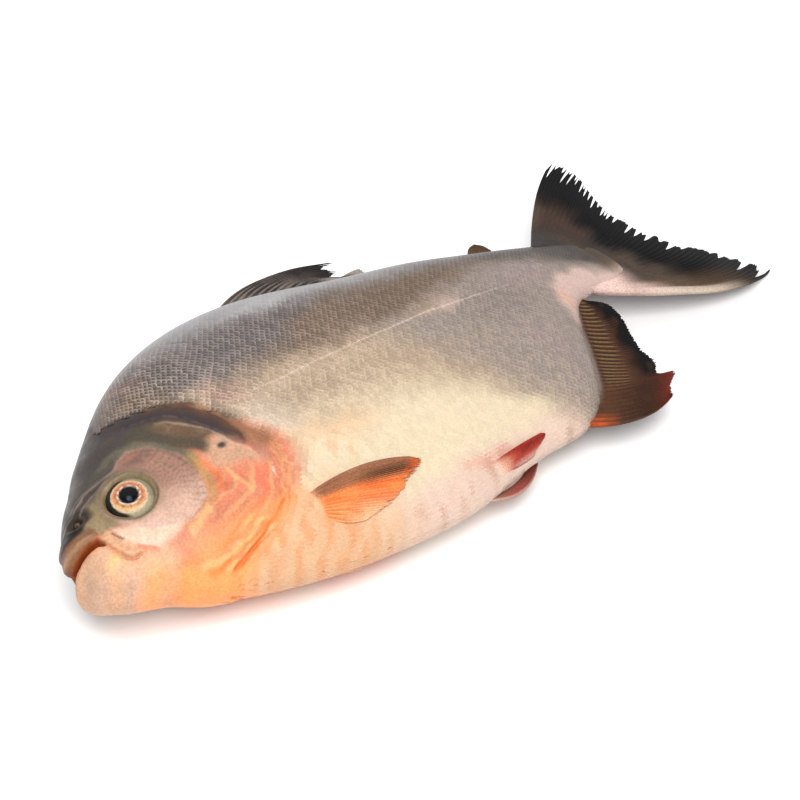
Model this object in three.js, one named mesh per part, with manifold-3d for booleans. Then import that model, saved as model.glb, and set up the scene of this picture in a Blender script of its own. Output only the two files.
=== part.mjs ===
// A whole raw freshwater fish, deep bodied and small mouthed, lying on its right flank.
// Millimetres, +Z up. The head points along -X, the back along +Y, and the left flank faces up.
// Places on the fish are given as [x, y, side]: x from the snout, y from the mid line towards the
// back, side from the middle plane towards the left flank.
import * as THREE from "three";
import { mergeVertices } from "three/addons/utils/BufferGeometryUtils.js";
import Module from "manifold-3d";

const wasm = await Module();
wasm.setup();

// ---------------------------------------------------------------- driving dimensions

const BODY_LENGTH = 304; // snout to the end of the scales on the tail
const ROLL = THREE.MathUtils.degToRad(5.7); // the belly edge hangs lower than the back
const ROLL_LEVEL = 5; // y of the line that the roll turns round
const FULL_ABOVE = 2.2; // exponent of the section above its widest level
const FULL_BELOW = 2.1; // and below it

// Stations of the body: place from the snout, y of back and belly, half width, y of the widest level.
const STATIONS = [
  { at: 0, back: 5.5, belly: 5.5, half: 0, widest: 5.5 },
  { at: 4, back: 17, belly: -15, half: 15, widest: 4 },
  { at: 12, back: 27.5, belly: -20.8, half: 19.2, widest: 5 },
  { at: 28, back: 42, belly: -28.5, half: 23.3, widest: 7 },
  { at: 50, back: 59.7, belly: -40, half: 26.6, widest: 10.5 },
  { at: 80, back: 77.6, belly: -53, half: 28.8, widest: 14 },
  { at: 120, back: 86.2, belly: -63, half: 29, widest: 16.5 },
  { at: 160, back: 80.8, belly: -66, half: 26.2, widest: 16 },
  { at: 200, back: 67, belly: -63, half: 20.6, widest: 13.5 },
  { at: 232, back: 55.2, belly: -59, half: 16.8, widest: 11.5 },
  { at: 252, back: 46, belly: -36, half: 13, widest: 10.5 },
  { at: 272, back: 37, belly: -11, half: 9.2, widest: 10 },
  { at: 286, back: 30.5, belly: -6.5, half: 6.4, widest: 9.5 },
  { at: BODY_LENGTH, back: 23, belly: -11.5, half: 2.4, widest: 6 },
];

// Height of the middle plane over the floor along the fish: the tail droops.
const SAG_AT = [0, 40, 110, 200, 260, 300, 340, 380];
const SAG_HEIGHT = [30.8, 30.4, 28.4, 25.4, 24.8, 22.6, 17.8, 9.5];

const BODY_RINGS = 46;
const BODY_COLUMNS = 32;

// The rear edge of the gill cover, from the nape down to the throat, as [x, y].
const GILL_EDGE = [
  [74, 34],
  [81, 24.5],
  [86.5, 12],
  [92.5, -2],
  [89.5, -16],
  [82, -27],
  [72, -32.5],
  [60, -34.6],
  [48, -35.4],
];
const GILL_LIFT = 1.8; // step from the gill cover down to the shoulder behind it
const GILL_RAMP = 4; // length over which the step rises
const GILL_FADE = 34; // length over which it dies out towards the face
const GILL_TOP = { from: 26, to: 46 }; // y over which the cover runs out into the nape
const GILL_SLIT = { width: 1.2, depth: 2.4, steps: 18 };

const CHEEK = { x: 41, y: 7, along: 18.5, across: 21, lift: 1.1, level: 0.8 }; // bony plate round the eye

const EYE = { x: 31.5, y: 9.6, radius: 9.8, depth: 5.4, sunk: 2, gap: 0.3 };
const NOSTRILS = [
  { x: 11.6, y: 17.6, radius: 1.8 },
  { x: 14.8, y: 18.4, radius: 1.3 },
];
const VENT = { x: 209, y: -64, radius: 2.4 };

// The open mouth seen from the side, as [x, y]: along the upper lip to the corner and back.
const UPPER_LIP = [
  [-6, 5.4],
  [2, 3.5],
  [6, 3.2],
  [9.8, 3.4],
  [11, 1],
];
const LOWER_LIP = [
  [11.4, -1.8],
  [9.4, 0],
  [6, 1.3],
  [2, 2],
  [-6, 3.6],
];
const MOUTH_HALF_WIDTH = 26;

// Every fin is a fan of rays from its root line to its edge line. The middle line bends the rays:
// it holds the control point of each ray's curve. Lines are [x, y, side] from the first ray to the last.
const FINS = {
  caudal: {
    root: [[286, 30.5, 0], [296, 24, 0], [299, 10, 0], [296, -3, 0], [286, -6, 0]],
    middle: [[317, 60.5, 0], [322, 37, 0], [321, 14, 0], [332, -20, -1], [343, -54, -1.5]],
    edge: [
      [346.5, 73.5, 0],
      [349, 62, 0],
      [347.5, 54, 0],
      [341.5, 41, 0],
      [338.7, 28, -0.5],
      [343, 16.5, -1.5],
      [350, 0.5, -3],
      [362, -11.5, -4],
      [372.5, -23, -4.8],
      [380, -35.5, -5.5],
    ],
    rays: 23,
    thick: [3.4, 0.9],
    ragged: 0.035,
    splits: [[0.05, 0.18], [0.16, 0.2], [0.28, 0.16], [0.46, 0.14], [0.68, 0.12], [0.95, 0.16]],
  },
  anal: {
    root: [[219, -62, 0], [237, -50, 0], [249, -36, 0], [262, -18, 0], [277, -4, 0]],
    middle: [[240, -82, 0], [254, -64, 0], [262, -50, 0], [273, -30, 0], [279, -6, 0]],
    edge: [
      [264.5, -73.7, -1],
      [267.5, -69.5, -1],
      [276.5, -64, -1],
      [268.5, -61.3, 0],
      [272.8, -55.5, 0],
      [274, -47, 0],
      [279, -36, 0],
      [284, -25, 0],
      [285, -16, 0],
      [278.2, -7.8, 0],
    ],
    rays: 24,
    thick: [3, 0.9],
    ragged: 0.04,
    splits: [[0.28, 0.3]],
  },
  dorsal: {
    root: [[138, 82.5, 0], [156, 78.5, 0], [174, 73.5, 0], [190, 68, 0], [206, 61.5, 0]],
    middle: [[170, 104, 0], [179, 96, 0], [189, 87, 0], [201, 75.5, 0], [211, 67, 0]],
    edge: [
      [212, 79.6, 0],
      [204.6, 80.2, 0],
      [207.6, 74.9, 0],
      [203, 73.3, 0],
      [206.5, 70.6, 0],
      [208, 66.5, 0],
      [216, 70.2, 0],
      [216.5, 64, 0],
    ],
    rays: 14,
    thick: [3, 0.9],
    ragged: 0.03,
    splits: [],
  },
  adipose: {
    root: [[258, 41, 0], [262, 39.5, 0], [266, 37.5, 0]],
    middle: [[260.5, 49.5, 0], [265, 46, 0], [268, 41.5, 0]],
    edge: [[268.5, 49, 0], [270.4, 46, 0], [270.8, 41, 0]],
    rays: 5,
    thick: [3, 1.2],
    ragged: 0.02,
    splits: [],
  },
  // The right belly fin lies under the fish and shows beside the belly's edge.
  pelvicRight: {
    root: [[156, -63, -3], [158.5, -62.5, -5], [161, -62, -7]],
    middle: [[176, -75, -8], [178, -69, -9], [180, -64, -10]],
    edge: [[194.5, -60, -8], [193.5, -59, -9], [190, -57.5, -10.5]],
    rays: 8,
    thick: [2.2, 0.9],
    ragged: 0.04,
    splits: [],
  },
};

// These fins lie against the flank, so their lines are [x, y, lift] with the lift over the skin.
const FLANK_FINS = {
  pectoral: {
    sides: [1, -1],
    root: [[80, -33, -2], [82.5, -36, -2], [84, -40, -2]],
    middle: [[109.6, -32, 3], [106, -42, 3], [90, -50.5, 2]],
    edge: [[134, -44.3, 2], [136.6, -47, 2], [129, -49.5, 1.5], [114.5, -53, 1.5], [101, -52.5, 1]],
    rays: 12,
    thick: [2.4, 0.9],
    ragged: 0.05,
    splits: [[0.62, 0.18]],
  },
  pelvicLeft: {
    sides: [1],
    root: [[156, -60.5, -2], [159, -62, -2], [161.5, -63.5, -2]],
    middle: [[174, -58.6, 1.5], [180, -60.5, 2], [178, -64, 2]],
    edge: [[195.5, -58.6, 1], [196.9, -59.8, 1.5], [188, -62.8, 2]],
    rays: 8,
    thick: [2.2, 0.9],
    ragged: 0.04,
    splits: [],
  },
};
const FIN_ROWS = 3; // steps along a ray
const WEB_THICKNESS = 0.6; // share of a ray's thickness that the skin between rays has

const SLAB = 40; // depth of what is cut away under the floor

const SKIN = { color: 0x9c978e, roughness: 0.42, metalness: 0 };
const EYEBALL = { color: 0xb77a48, roughness: 0.12, metalness: 0 };

// ---------------------------------------------------------------- curves and profiles

// A natural cubic spline through the knots, as a function.
function naturalSpline(knots, values) {
  const last = knots.length - 1;
  const ratio = new Array(last + 1).fill(0);
  const bend = new Array(last + 1).fill(0);
  for (let i = 1; i < last; i += 1) {
    const before = knots[i] - knots[i - 1];
    const after = knots[i + 1] - knots[i];
    const turn = (values[i + 1] - values[i]) / after - (values[i] - values[i - 1]) / before;
    const pivot = 2 * (before + after) - before * ratio[i - 1];
    ratio[i] = after / pivot;
    bend[i] = (6 * turn - before * bend[i - 1]) / pivot;
  }
  for (let i = last - 1; i > 0; i -= 1) bend[i] -= ratio[i] * bend[i + 1];
  return (t) => {
    let i = 0;
    while (i < last - 1 && t > knots[i + 1]) i += 1;
    const step = knots[i + 1] - knots[i];
    const a = (knots[i + 1] - t) / step;
    const b = (t - knots[i]) / step;
    const curve = (a ** 3 - a) * bend[i] + (b ** 3 - b) * bend[i + 1];
    return a * values[i] + b * values[i + 1] + (curve * step * step) / 6;
  };
}

// Stations are dense at the blunt snout, so the profiles run over the square root of the length.
const alongRoot = (x) => Math.sqrt(THREE.MathUtils.clamp(x / BODY_LENGTH, 0, 1));
const stationKnots = STATIONS.map((station) => alongRoot(station.at));

function profile(key) {
  const values = STATIONS.map((station) => station[key]);
  const spline = naturalSpline(stationKnots, values);
  return (x) => spline(alongRoot(x));
}

const backLine = profile("back");
const bellyLine = profile("belly");
const halfWidth = profile("half");
const widestLevel = profile("widest");
const middleHeight = naturalSpline(SAG_AT, SAG_HEIGHT);

const smooth = THREE.MathUtils.smoothstep;
const mix = THREE.MathUtils.lerp;

// Lays a place on the fish down on the floor.
function lay([x, y, side]) {
  const rise = y - ROLL_LEVEL;
  return new THREE.Vector3(
    x,
    ROLL_LEVEL + rise * Math.cos(ROLL) - side * Math.sin(ROLL),
    middleHeight(x) + rise * Math.sin(ROLL) + side * Math.cos(ROLL),
  );
}

// Distance from the rear edge of the gill cover, positive on the face's side of it.
function insideGill(x, y) {
  let nearest = Infinity;
  let facing = 1;
  for (let i = 0; i + 1 < GILL_EDGE.length; i += 1) {
    const [startX, startY] = GILL_EDGE[i];
    const alongX = GILL_EDGE[i + 1][0] - startX;
    const alongY = GILL_EDGE[i + 1][1] - startY;
    const share = ((x - startX) * alongX + (y - startY) * alongY) / (alongX ** 2 + alongY ** 2);
    const t = THREE.MathUtils.clamp(share, 0, 1);
    const offX = x - startX - t * alongX;
    const offY = y - startY - t * alongY;
    const distance = Math.hypot(offX, offY);
    if (distance < nearest) {
      nearest = distance;
      facing = Math.sign(alongY * offX - alongX * offY) || 1;
    }
  }
  return facing * nearest;
}

// Height of the head's low relief over the plain flank: the gill cover and the bony cheek plate.
function relief(x, y) {
  const inside = insideGill(x, y);
  const nape = 1 - smooth(y, GILL_TOP.from, GILL_TOP.to);
  const cover = smooth(inside, 0, GILL_RAMP) * (1 - smooth(inside, GILL_RAMP, GILL_FADE)) * nape;
  const plateShare = Math.hypot((x - CHEEK.x) / CHEEK.along, (y - CHEEK.y) / CHEEK.across);
  return GILL_LIFT * cover + CHEEK.lift * (1 - smooth(plateShare, CHEEK.level, 1));
}

// How far the flank lies from the middle plane.
function flank(x, y) {
  const above = y >= widestLevel(x);
  const reach = above ? backLine(x) - widestLevel(x) : widestLevel(x) - bellyLine(x);
  const power = above ? FULL_ABOVE : FULL_BELOW;
  const share = Math.min(Math.abs(y - widestLevel(x)) / reach, 1);
  return halfWidth(x) * (1 - share ** power) ** (1 / power);
}

// The direction that the flank faces on one side, +1 for the left and -1 for the right.
function facing(x, y, side) {
  const skin = (px, py) => lay([px, py, side * flank(px, py)]);
  const along = skin(x + 1, y).sub(skin(x - 1, y));
  const up = skin(x, y + 1).sub(skin(x, y - 1));
  return along.cross(up).multiplyScalar(side).normalize();
}

// ---------------------------------------------------------------- closed solids

// A closed geometry as a solid for cutting and joining.
function solidOf(geometry) {
  geometry.deleteAttribute("normal");
  geometry.deleteAttribute("uv");
  const merged = mergeVertices(geometry, 1e-4);
  const vertProperties = merged.getAttribute("position").array;
  const triVerts = new Uint32Array(merged.index.array);
  return new wasm.Manifold(new wasm.Mesh({ numProp: 3, vertProperties, triVerts }));
}

// A closed solid from places and faces of three or four corners, which may all run either way round.
function facedSolid(places, faces) {
  const geometry = new THREE.BufferGeometry();
  geometry.setFromPoints(places.map(lay));
  const corners = faces.flatMap(([a, b, c, d]) => (d === undefined ? [a, b, c] : [a, b, c, a, c, d]));
  geometry.setIndex(corners);
  const solid = solidOf(geometry);
  if (solid.volume() > 0) return solid;
  geometry.setIndex(corners.toReversed());
  return solidOf(geometry);
}

// The body without its fins: rings round the middle plane, with a pole at the snout and at the tail.
function bodySolid() {
  const places = [[0, STATIONS[0].back, 0]];
  const faces = [];
  const at = (ring, column) => 1 + (ring - 1) * BODY_COLUMNS + (column % BODY_COLUMNS);
  for (let ring = 1; ring <= BODY_RINGS; ring += 1) {
    const x = BODY_LENGTH * (ring / BODY_RINGS) ** 2;
    for (let column = 0; column < BODY_COLUMNS; column += 1) {
      const turn = (2 * Math.PI * column) / BODY_COLUMNS;
      const rise = Math.sin(turn);
      const power = rise >= 0 ? FULL_ABOVE : FULL_BELOW;
      const reach = rise >= 0 ? backLine(x) - widestLevel(x) : widestLevel(x) - bellyLine(x);
      const y = widestLevel(x) + reach * Math.sign(rise) * Math.abs(rise) ** (2 / power);
      const plain = halfWidth(x) * Math.abs(Math.cos(turn)) ** (2 / power);
      places.push([x, y, Math.sign(Math.cos(turn)) * (plain + relief(x, y) * (plain / halfWidth(x)))]);
    }
  }
  const tail = places.push([BODY_LENGTH, widestLevel(BODY_LENGTH), 0]) - 1;
  for (let column = 0; column < BODY_COLUMNS; column += 1) {
    faces.push([0, at(1, column), at(1, column + 1)]);
    faces.push([tail, at(BODY_RINGS, column + 1), at(BODY_RINGS, column)]);
    for (let ring = 1; ring < BODY_RINGS; ring += 1) {
      faces.push([at(ring, column), at(ring + 1, column), at(ring + 1, column + 1), at(ring, column + 1)]);
    }
  }
  return facedSolid(places, faces);
}

// A number between 0 and 1 that looks random and is the same each time for the same index.
const scatter = (index) => Math.abs(Math.sin(index * 12.9898 + 4.1) * 43758.5453) % 1;

// A fan of rays as one thin closed plate, with thick rays, thinner skin between them and a ragged edge.
function finSolid({ root, middle, edge, rays, thick, ragged, splits }, place = (spot) => spot) {
  const [rootLine, middleLine, edgeLine] = [root, middle, edge].map(
    (line) => new THREE.CatmullRomCurve3(line.map((spot) => new THREE.Vector3(...spot))),
  );
  const columns = 2 * rays - 1;
  const fronts = [];
  const backs = [];
  for (let column = 0; column < columns; column += 1) {
    const across = column / (columns - 1);
    const isRay = column % 2 === 0;
    const split = splits.find(([where]) => Math.abs(across - where) < 1 / columns);
    const tear = split && !isRay ? split[1] : 0;
    const reach = 1 - tear - ragged * (scatter(column) + (isRay ? 0 : 1));
    const ray = new THREE.QuadraticBezierCurve3(
      rootLine.getPoint(across),
      middleLine.getPoint(across),
      edgeLine.getPoint(across),
    );
    for (let row = 0; row <= FIN_ROWS; row += 1) {
      const spot = ray.getPoint((row / FIN_ROWS) * reach);
      const half = 0.5 * mix(thick[0], thick[1], row / FIN_ROWS) * (isRay ? 1 : WEB_THICKNESS);
      const [x, y, side] = place([spot.x, spot.y, spot.z]);
      fronts.push([x, y, side + half]);
      backs.push([x, y, side - half]);
    }
  }
  const total = fronts.length;
  const at = (column, row) => column * (FIN_ROWS + 1) + row;
  const faces = [];
  for (let column = 0; column + 1 < columns; column += 1) {
    for (let row = 0; row < FIN_ROWS; row += 1) {
      const corners = [at(column, row), at(column + 1, row), at(column + 1, row + 1), at(column, row + 1)];
      faces.push(corners.toReversed());
      faces.push(corners.map((corner) => corner + total));
    }
  }
  const rim = [];
  for (let column = 0; column + 1 < columns; column += 1) rim.push(at(column, 0));
  for (let row = 0; row < FIN_ROWS; row += 1) rim.push(at(columns - 1, row));
  for (let column = columns - 1; column > 0; column -= 1) rim.push(at(column, FIN_ROWS));
  for (let row = FIN_ROWS; row > 0; row -= 1) rim.push(at(0, row));
  rim.forEach((corner, i) => {
    const next = rim[(i + 1) % rim.length];
    faces.push([corner, next, next + total, corner + total]);
  });
  return facedSolid([...fronts, ...backs], faces);
}

// A ball squashed along the direction that it faces.
function ball(centre, direction, radius, depth, detail) {
  const geometry = new THREE.IcosahedronGeometry(1, detail);
  const upright = new THREE.Vector3(0, 0, 1);
  const turn = new THREE.Quaternion().setFromUnitVectors(upright, direction);
  geometry.applyMatrix4(new THREE.Matrix4().compose(centre, turn, new THREE.Vector3(radius, radius, depth)));
  return solidOf(geometry);
}

// The eyeball of one side, grown by the given amount.
function eyeball(side, grown) {
  const out = facing(EYE.x, EYE.y, side);
  const skin = lay([EYE.x, EYE.y, side * (flank(EYE.x, EYE.y) + CHEEK.lift)]);
  const centre = skin.addScaledVector(out, -EYE.sunk);
  return ball(centre, out, EYE.radius + grown, EYE.depth + grown, 3);
}

// A pit in the skin of one side.
function pit({ x, y, radius }, side) {
  const out = facing(x, y, side);
  return ball(lay([x, y, side * flank(x, y)]), out, radius, radius * 0.8, 1);
}

// The open mouth: its outline carried right across the head.
function mouthCut() {
  const outline = new THREE.Shape([...UPPER_LIP, ...LOWER_LIP].map(([x, y]) => new THREE.Vector2(x, y)));
  const options = { depth: 2 * MOUTH_HALF_WIDTH, bevelEnabled: false };
  const geometry = new THREE.ExtrudeGeometry(outline, options);
  const at = geometry.getAttribute("position");
  for (let i = 0; i < at.count; i += 1) {
    const spot = lay([at.getX(i), at.getY(i), at.getZ(i) - MOUTH_HALF_WIDTH]);
    at.setXYZ(i, spot.x, spot.y, spot.z);
  }
  return solidOf(geometry);
}

// The narrow slit behind the rear edge of the gill cover on one side.
function gillSlit(side) {
  const edge = new THREE.CatmullRomCurve3(GILL_EDGE.slice(1).map(([x, y]) => new THREE.Vector3(x, y, 0)));
  const places = [];
  for (let step = 0; step <= GILL_SLIT.steps; step += 1) {
    const spot = edge.getPoint(step / GILL_SLIT.steps);
    const along = edge.getTangent(step / GILL_SLIT.steps);
    const away = [-along.y * GILL_SLIT.width, along.x * GILL_SLIT.width];
    const skin = flank(spot.x, spot.y);
    const floor = Math.max(skin - GILL_SLIT.depth, 0.5);
    places.push([spot.x, spot.y, side * floor]);
    places.push([spot.x + away[0], spot.y + away[1], side * floor]);
    places.push([spot.x + away[0], spot.y + away[1], side * (skin + GILL_LIFT + 1)]);
    places.push([spot.x, spot.y, side * (skin + GILL_LIFT + 1)]);
  }
  const faces = [[0, 1, 2, 3]];
  for (let step = 0; step < GILL_SLIT.steps; step += 1) {
    for (let corner = 0; corner < 4; corner += 1) {
      const a = 4 * step + corner;
      const b = 4 * step + ((corner + 1) % 4);
      faces.push([a, a + 4, b + 4, b]);
    }
  }
  const last = 4 * GILL_SLIT.steps;
  faces.push([last + 3, last + 2, last + 1, last]);
  return facedSolid(places, faces);
}

// What lies under the floor, to press the lower flank flat where the fish rests.
function underFloor() {
  const slab = new THREE.BoxGeometry(3 * BODY_LENGTH, 2 * BODY_LENGTH, SLAB);
  slab.translate(BODY_LENGTH / 2, 0, -SLAB / 2);
  return solidOf(slab);
}

function fishSolid() {
  let fish = bodySolid();
  for (const fin of Object.values(FINS)) fish = fish.add(finSolid(fin));
  for (const fin of Object.values(FLANK_FINS)) {
    for (const side of fin.sides) {
      fish = fish.add(finSolid(fin, ([x, y, lift]) => [x, y, side * (flank(x, y) + lift)]));
    }
  }
  for (const side of [1, -1]) {
    fish = fish.subtract(gillSlit(side)).subtract(eyeball(side, EYE.gap));
    for (const nostril of NOSTRILS) fish = fish.subtract(pit(nostril, side));
  }
  return fish.subtract(mouthCut()).subtract(pit(VENT, 1)).subtract(underFloor());
}

// ---------------------------------------------------------------- the object

function meshOf(name, solid, finish) {
  const { vertProperties, triVerts } = solid.getMesh();
  const geometry = new THREE.BufferGeometry();
  geometry.setAttribute("position", new THREE.BufferAttribute(vertProperties, 3));
  geometry.setIndex(new THREE.BufferAttribute(triVerts, 1));
  geometry.computeVertexNormals();
  const mesh = new THREE.Mesh(geometry, new THREE.MeshStandardMaterial(finish));
  mesh.name = name;
  return mesh;
}

const group = new THREE.Group();
group.add(meshOf("fish", fishSolid(), SKIN));
group.add(meshOf("eye_left", eyeball(1, 0), EYEBALL));
group.add(meshOf("eye_right", eyeball(-1, 0), EYEBALL));

// The origin is the middle of the object's box, on the floor.
const box = new THREE.Box3().setFromObject(group);
const middle = box.getCenter(new THREE.Vector3());
group.position.set(-middle.x, -middle.y, -box.min.z);

export default group;
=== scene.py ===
"""A whole raw freshwater fish that lies on its right flank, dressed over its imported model.

Places on the fish are in millimetres: x from the snout, y from the mid line towards the back, and side
from the middle plane towards the left flank. lay() turns them into metres of the frame.
"""
import math

import bpy
import numpy as np
from bpy.props import FloatProperty, FloatVectorProperty, IntProperty, PointerProperty
from bpy.types import Operator, Panel, PropertyGroup
from mathutils import Matrix, Vector


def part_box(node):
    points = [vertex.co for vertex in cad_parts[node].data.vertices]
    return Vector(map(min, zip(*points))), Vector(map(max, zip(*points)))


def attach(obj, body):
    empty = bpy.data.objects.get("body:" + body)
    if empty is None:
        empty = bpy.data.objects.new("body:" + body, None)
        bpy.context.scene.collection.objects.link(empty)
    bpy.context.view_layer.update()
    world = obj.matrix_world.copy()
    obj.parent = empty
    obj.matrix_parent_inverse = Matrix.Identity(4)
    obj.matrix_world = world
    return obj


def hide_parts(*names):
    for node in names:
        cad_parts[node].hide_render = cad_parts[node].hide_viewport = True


bl_info = {
    "name": "Whole Raw Fish",
    "version": (1, 0, 0),
    "blender": (4, 5, 0),
    "location": "View3D > Sidebar > Fish",
    "description": "Dresses the packed model of a whole raw fish with skin, scales, fins and eyes",
    "category": "Object",
}

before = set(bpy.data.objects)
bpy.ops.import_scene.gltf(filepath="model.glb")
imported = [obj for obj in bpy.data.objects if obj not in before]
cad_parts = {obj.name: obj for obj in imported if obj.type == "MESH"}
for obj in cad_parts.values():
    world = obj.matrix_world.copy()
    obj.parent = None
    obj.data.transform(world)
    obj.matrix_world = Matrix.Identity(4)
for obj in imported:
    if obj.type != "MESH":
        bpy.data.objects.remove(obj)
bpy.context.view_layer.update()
BODY = "root"
MM = 0.001

# ---- driving dimensions, in millimetres

BODY_LENGTH = 304.0
ROLL = math.radians(5.7)
ROLL_LEVEL = 5.0
FULL_ABOVE = 2.2
FULL_BELOW = 2.1

# Place from the snout, y of the back, y of the belly, half width, y of the widest level.
STATIONS = (
    (0, 5.5, 5.5, 0, 5.5),
    (4, 17, -15, 15, 4),
    (12, 27.5, -20.8, 19.2, 5),
    (28, 42, -28.5, 23.3, 7),
    (50, 59.7, -40, 26.6, 10.5),
    (80, 77.6, -53, 28.8, 14),
    (120, 86.2, -63, 29, 16.5),
    (160, 80.8, -66, 26.2, 16),
    (200, 67, -63, 20.6, 13.5),
    (232, 55.2, -59, 16.8, 11.5),
    (252, 46, -36, 13, 10.5),
    (272, 37, -11, 9.2, 10),
    (286, 30.5, -6.5, 6.4, 9.5),
    (BODY_LENGTH, 23, -11.5, 2.4, 6),
)
SAG_AT = (0, 40, 110, 200, 260, 300, 340, 380)
SAG_HEIGHT = (30.8, 30.4, 28.4, 25.4, 24.8, 22.6, 17.8, 9.5)

# Lines on the head as [x, y], each from the back down to the throat or from the snout backwards.
GILL_EDGE = (
    (74, 34), (81, 24.5), (86.5, 12), (92.5, -2), (89.5, -16), (82, -27), (72, -32.5), (60, -34.6),
    (48, -35.4),
)
GILL_LIFT = 1.8
GILL_RAMP = 4.0
GILL_FADE = 34.0
SCALE_FRONT = (
    (60, 80), (60, 70), (55, 60), (47.5, 49.5), (54, 46.5), (61, 43), (68, 38.8), (75, 35), (80.5, 30),
    (83.5, 22), (86.5, 14), (89.5, 5), (93.5, -2), (91.5, -16), (84, -27.5), (72, -34.5), (60, -36.6),
    (46, -38), (36, -46),
)
NAPE_BAND = (
    (50, 40.5), (57, 40), (63.5, 36.5), (72, 29.5), (76.5, 21.5), (78.8, 12), (82, 3), (86, -4), (88, -9),
)
NAPE_RUST = ((68, 36.5), (75, 32.5), (80, 25), (83, 16), (85.5, 7), (88, 0))
BONE_EDGE = ((62.7, 32.5), (68, 27), (72.7, 21), (75.3, 15), (77, 8), (80, 1.7), (82.3, -4), (82, -10))
CHEEK_EDGE = (
    (40, 26.5), (46.7, 26.7), (52, 23.3), (56.7, 15.3), (59.6, 7), (59.3, 0), (56.7, -7.3), (52, -11.6),
    (45, -13.6), (37, -13.9), (28.7, -15.5),
)
BROW = ((11.5, 20.5), (16.7, 23.7), (22, 24.7), (30, 23.7), (38, 22))
MAXILLA_FRONT = ((11.2, 3), (12, -5.3), (13.3, -8.7), (16, -11.5), (20, -12.2))
MAXILLA_SLIT = ((15.8, 2.4), (16.4, -0.5), (17.2, -3.6))
MAXILLA_BACK = ((19.4, -8.3), (21, -10.8), (22.7, -12.2), (26.2, -16))
THROAT_FOLDS = (
    ((36, -28), (42, -30.6), (50, -33), (60, -33.2), (68, -31)),
    ((42, -35), (50, -36.2), (60, -35), (67, -33), (74, -30.6), (80, -28)),
    ((46, -28.4), (58, -29), (70, -26.6)),
)
MOUTH = (
    (-1, 6.2), (0.5, 5.7), (3, 4.7), (6.8, 4.5), (10.8, 3.6), (11.4, 1.4), (10.9, -1.0), (8.7, 1.0),
    (4.6, 1.9), (1.4, 2.9), (0.1, 4.4), (-1, 4.6),
)
MOUTH_DEPTH = 7.0
CHEEK = {"x": 41.0, "y": 7.0, "along": 18.5, "across": 21.0, "lift": 1.1}
EYE = {"x": 31.5, "y": 9.6, "radius": 9.8, "depth": 5.4, "sunk": 2.0}
NOSTRIL = (10.8, 16.8)
LATERAL_LINE = ((92, 23), (104, 19), (120, 17.4), (150, 16.6), (200, 16.1), (222, 12.4), (245, 9.8), (304, 6))

# Each fin: points of its root, middle and edge from its front to its rear as [x, y] or [x, y, side], the
# number of rays, the thickness at root and edge, how likely and how deep its tears are, and how frayed its
# edge is.
FINS = {
    "tail_fin": dict(
        root=((286, 30.5), (296, 24), (299, 10), (296, -3), (286, -6)),
        middle=((317, 60.5), (322, 37), (321, 14), (332, -20, -1), (343, -54, -1.5)),
        edge=(
            (346.5, 73.5), (349, 62), (347.5, 54), (341.5, 41), (338.7, 28, -0.5), (343, 16.5, -1.5),
            (350, 0.5, -3), (362, -11.5, -4), (372.5, -23, -4.8), (380, -35.5, -5.5),
        ),
        rays=30, thick=(4.4, 0.5), torn=0.7, tears=(0.08, 0.27), frayed=0.02, slit=(0.6, 1.4), flat_root=0.22,
    ),
    "anal_fin": dict(
        root=((219, -62), (237, -50), (249, -36), (262, -18), (277, -4)),
        middle=((240, -82), (254, -64), (262, -50), (273, -30), (279, -6)),
        edge=(
            (264.5, -73.7, -1), (267.5, -69.5, -1), (276.5, -64, -1), (268.5, -61.3), (272.8, -55.5),
            (274, -47), (279, -36), (284, -25), (285, -16), (278.2, -7.8),
        ),
        rays=34, thick=(3.0, 0.5), torn=0.12, tears=(0.02, 0.07), frayed=0.03,
    ),
    "dorsal_fin": dict(
        root=((138, 82.5), (156, 78.5), (174, 73.5), (190, 68), (206, 61.5)),
        middle=((170, 104), (179, 96), (189, 87), (201, 75.5), (211, 67)),
        edge=(
            (212, 79.6), (204.6, 80.2), (207.6, 74.9), (203, 73.3), (206.5, 70.6), (208, 66.5),
            (216, 70.2), (216.5, 64),
        ),
        rays=16, thick=(3.0, 0.5), torn=0.5, tears=(0.04, 0.16), frayed=0.03,
    ),
    "adipose_fin": dict(
        root=((258, 41), (262, 39.5), (266, 37.5)),
        middle=((260.5, 49.5), (265, 46), (268, 41.5)),
        edge=((268.5, 49), (270.4, 46), (270.8, 41)),
        rays=6, thick=(3.0, 1.0), torn=0.0, tears=(0.0, 0.0), frayed=0.01,
    ),
    # The right belly fin lies under the fish and shows beside the belly's edge.
    "pelvic_right": dict(
        root=((156, -63, -3), (158.5, -62.5, -5), (161, -62, -7)),
        middle=((176, -75, -8), (178, -69, -9), (180, -64, -10)),
        edge=((194.5, -60, -8), (193.5, -59, -9), (190, -57.5, -10.5)),
        rays=9, thick=(2.2, 0.5), torn=0.2, tears=(0.02, 0.06), frayed=0.01,
    ),
}
# These fins lie against one flank or both: [x, y, lift over the skin].
FLANK_FINS = {
    "pectoral": dict(
        sides=(1, -1),
        root=((80, -33, -2), (82.5, -36, -2), (84, -40, -2)),
        middle=((109.6, -32, 3), (106, -42, 3), (90, -50.5, 2)),
        edge=((134, -44.3, 2), (136.6, -47, 2), (129, -49.5, 1.5), (114.5, -53, 1.5), (101, -52.5, 1)),
        rays=15, thick=(2.4, 0.5), torn=0.3, tears=(0.03, 0.1), frayed=0.03,
    ),
    "pelvic": dict(
        sides=(1,),
        root=((156, -60.5, -2), (159, -62, -2), (161.5, -63.5, -2)),
        middle=((174, -58.6, 1.5), (180, -60.5, 2), (178, -64, 2)),
        edge=((195.5, -58.6, 1), (196.9, -59.8, 1.5), (188, -62.8, 2)),
        rays=9, thick=(2.2, 0.5), torn=0.2, tears=(0.02, 0.06), frayed=0.01,
    ),
}
COLUMNS_PER_RAY = 8
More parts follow.
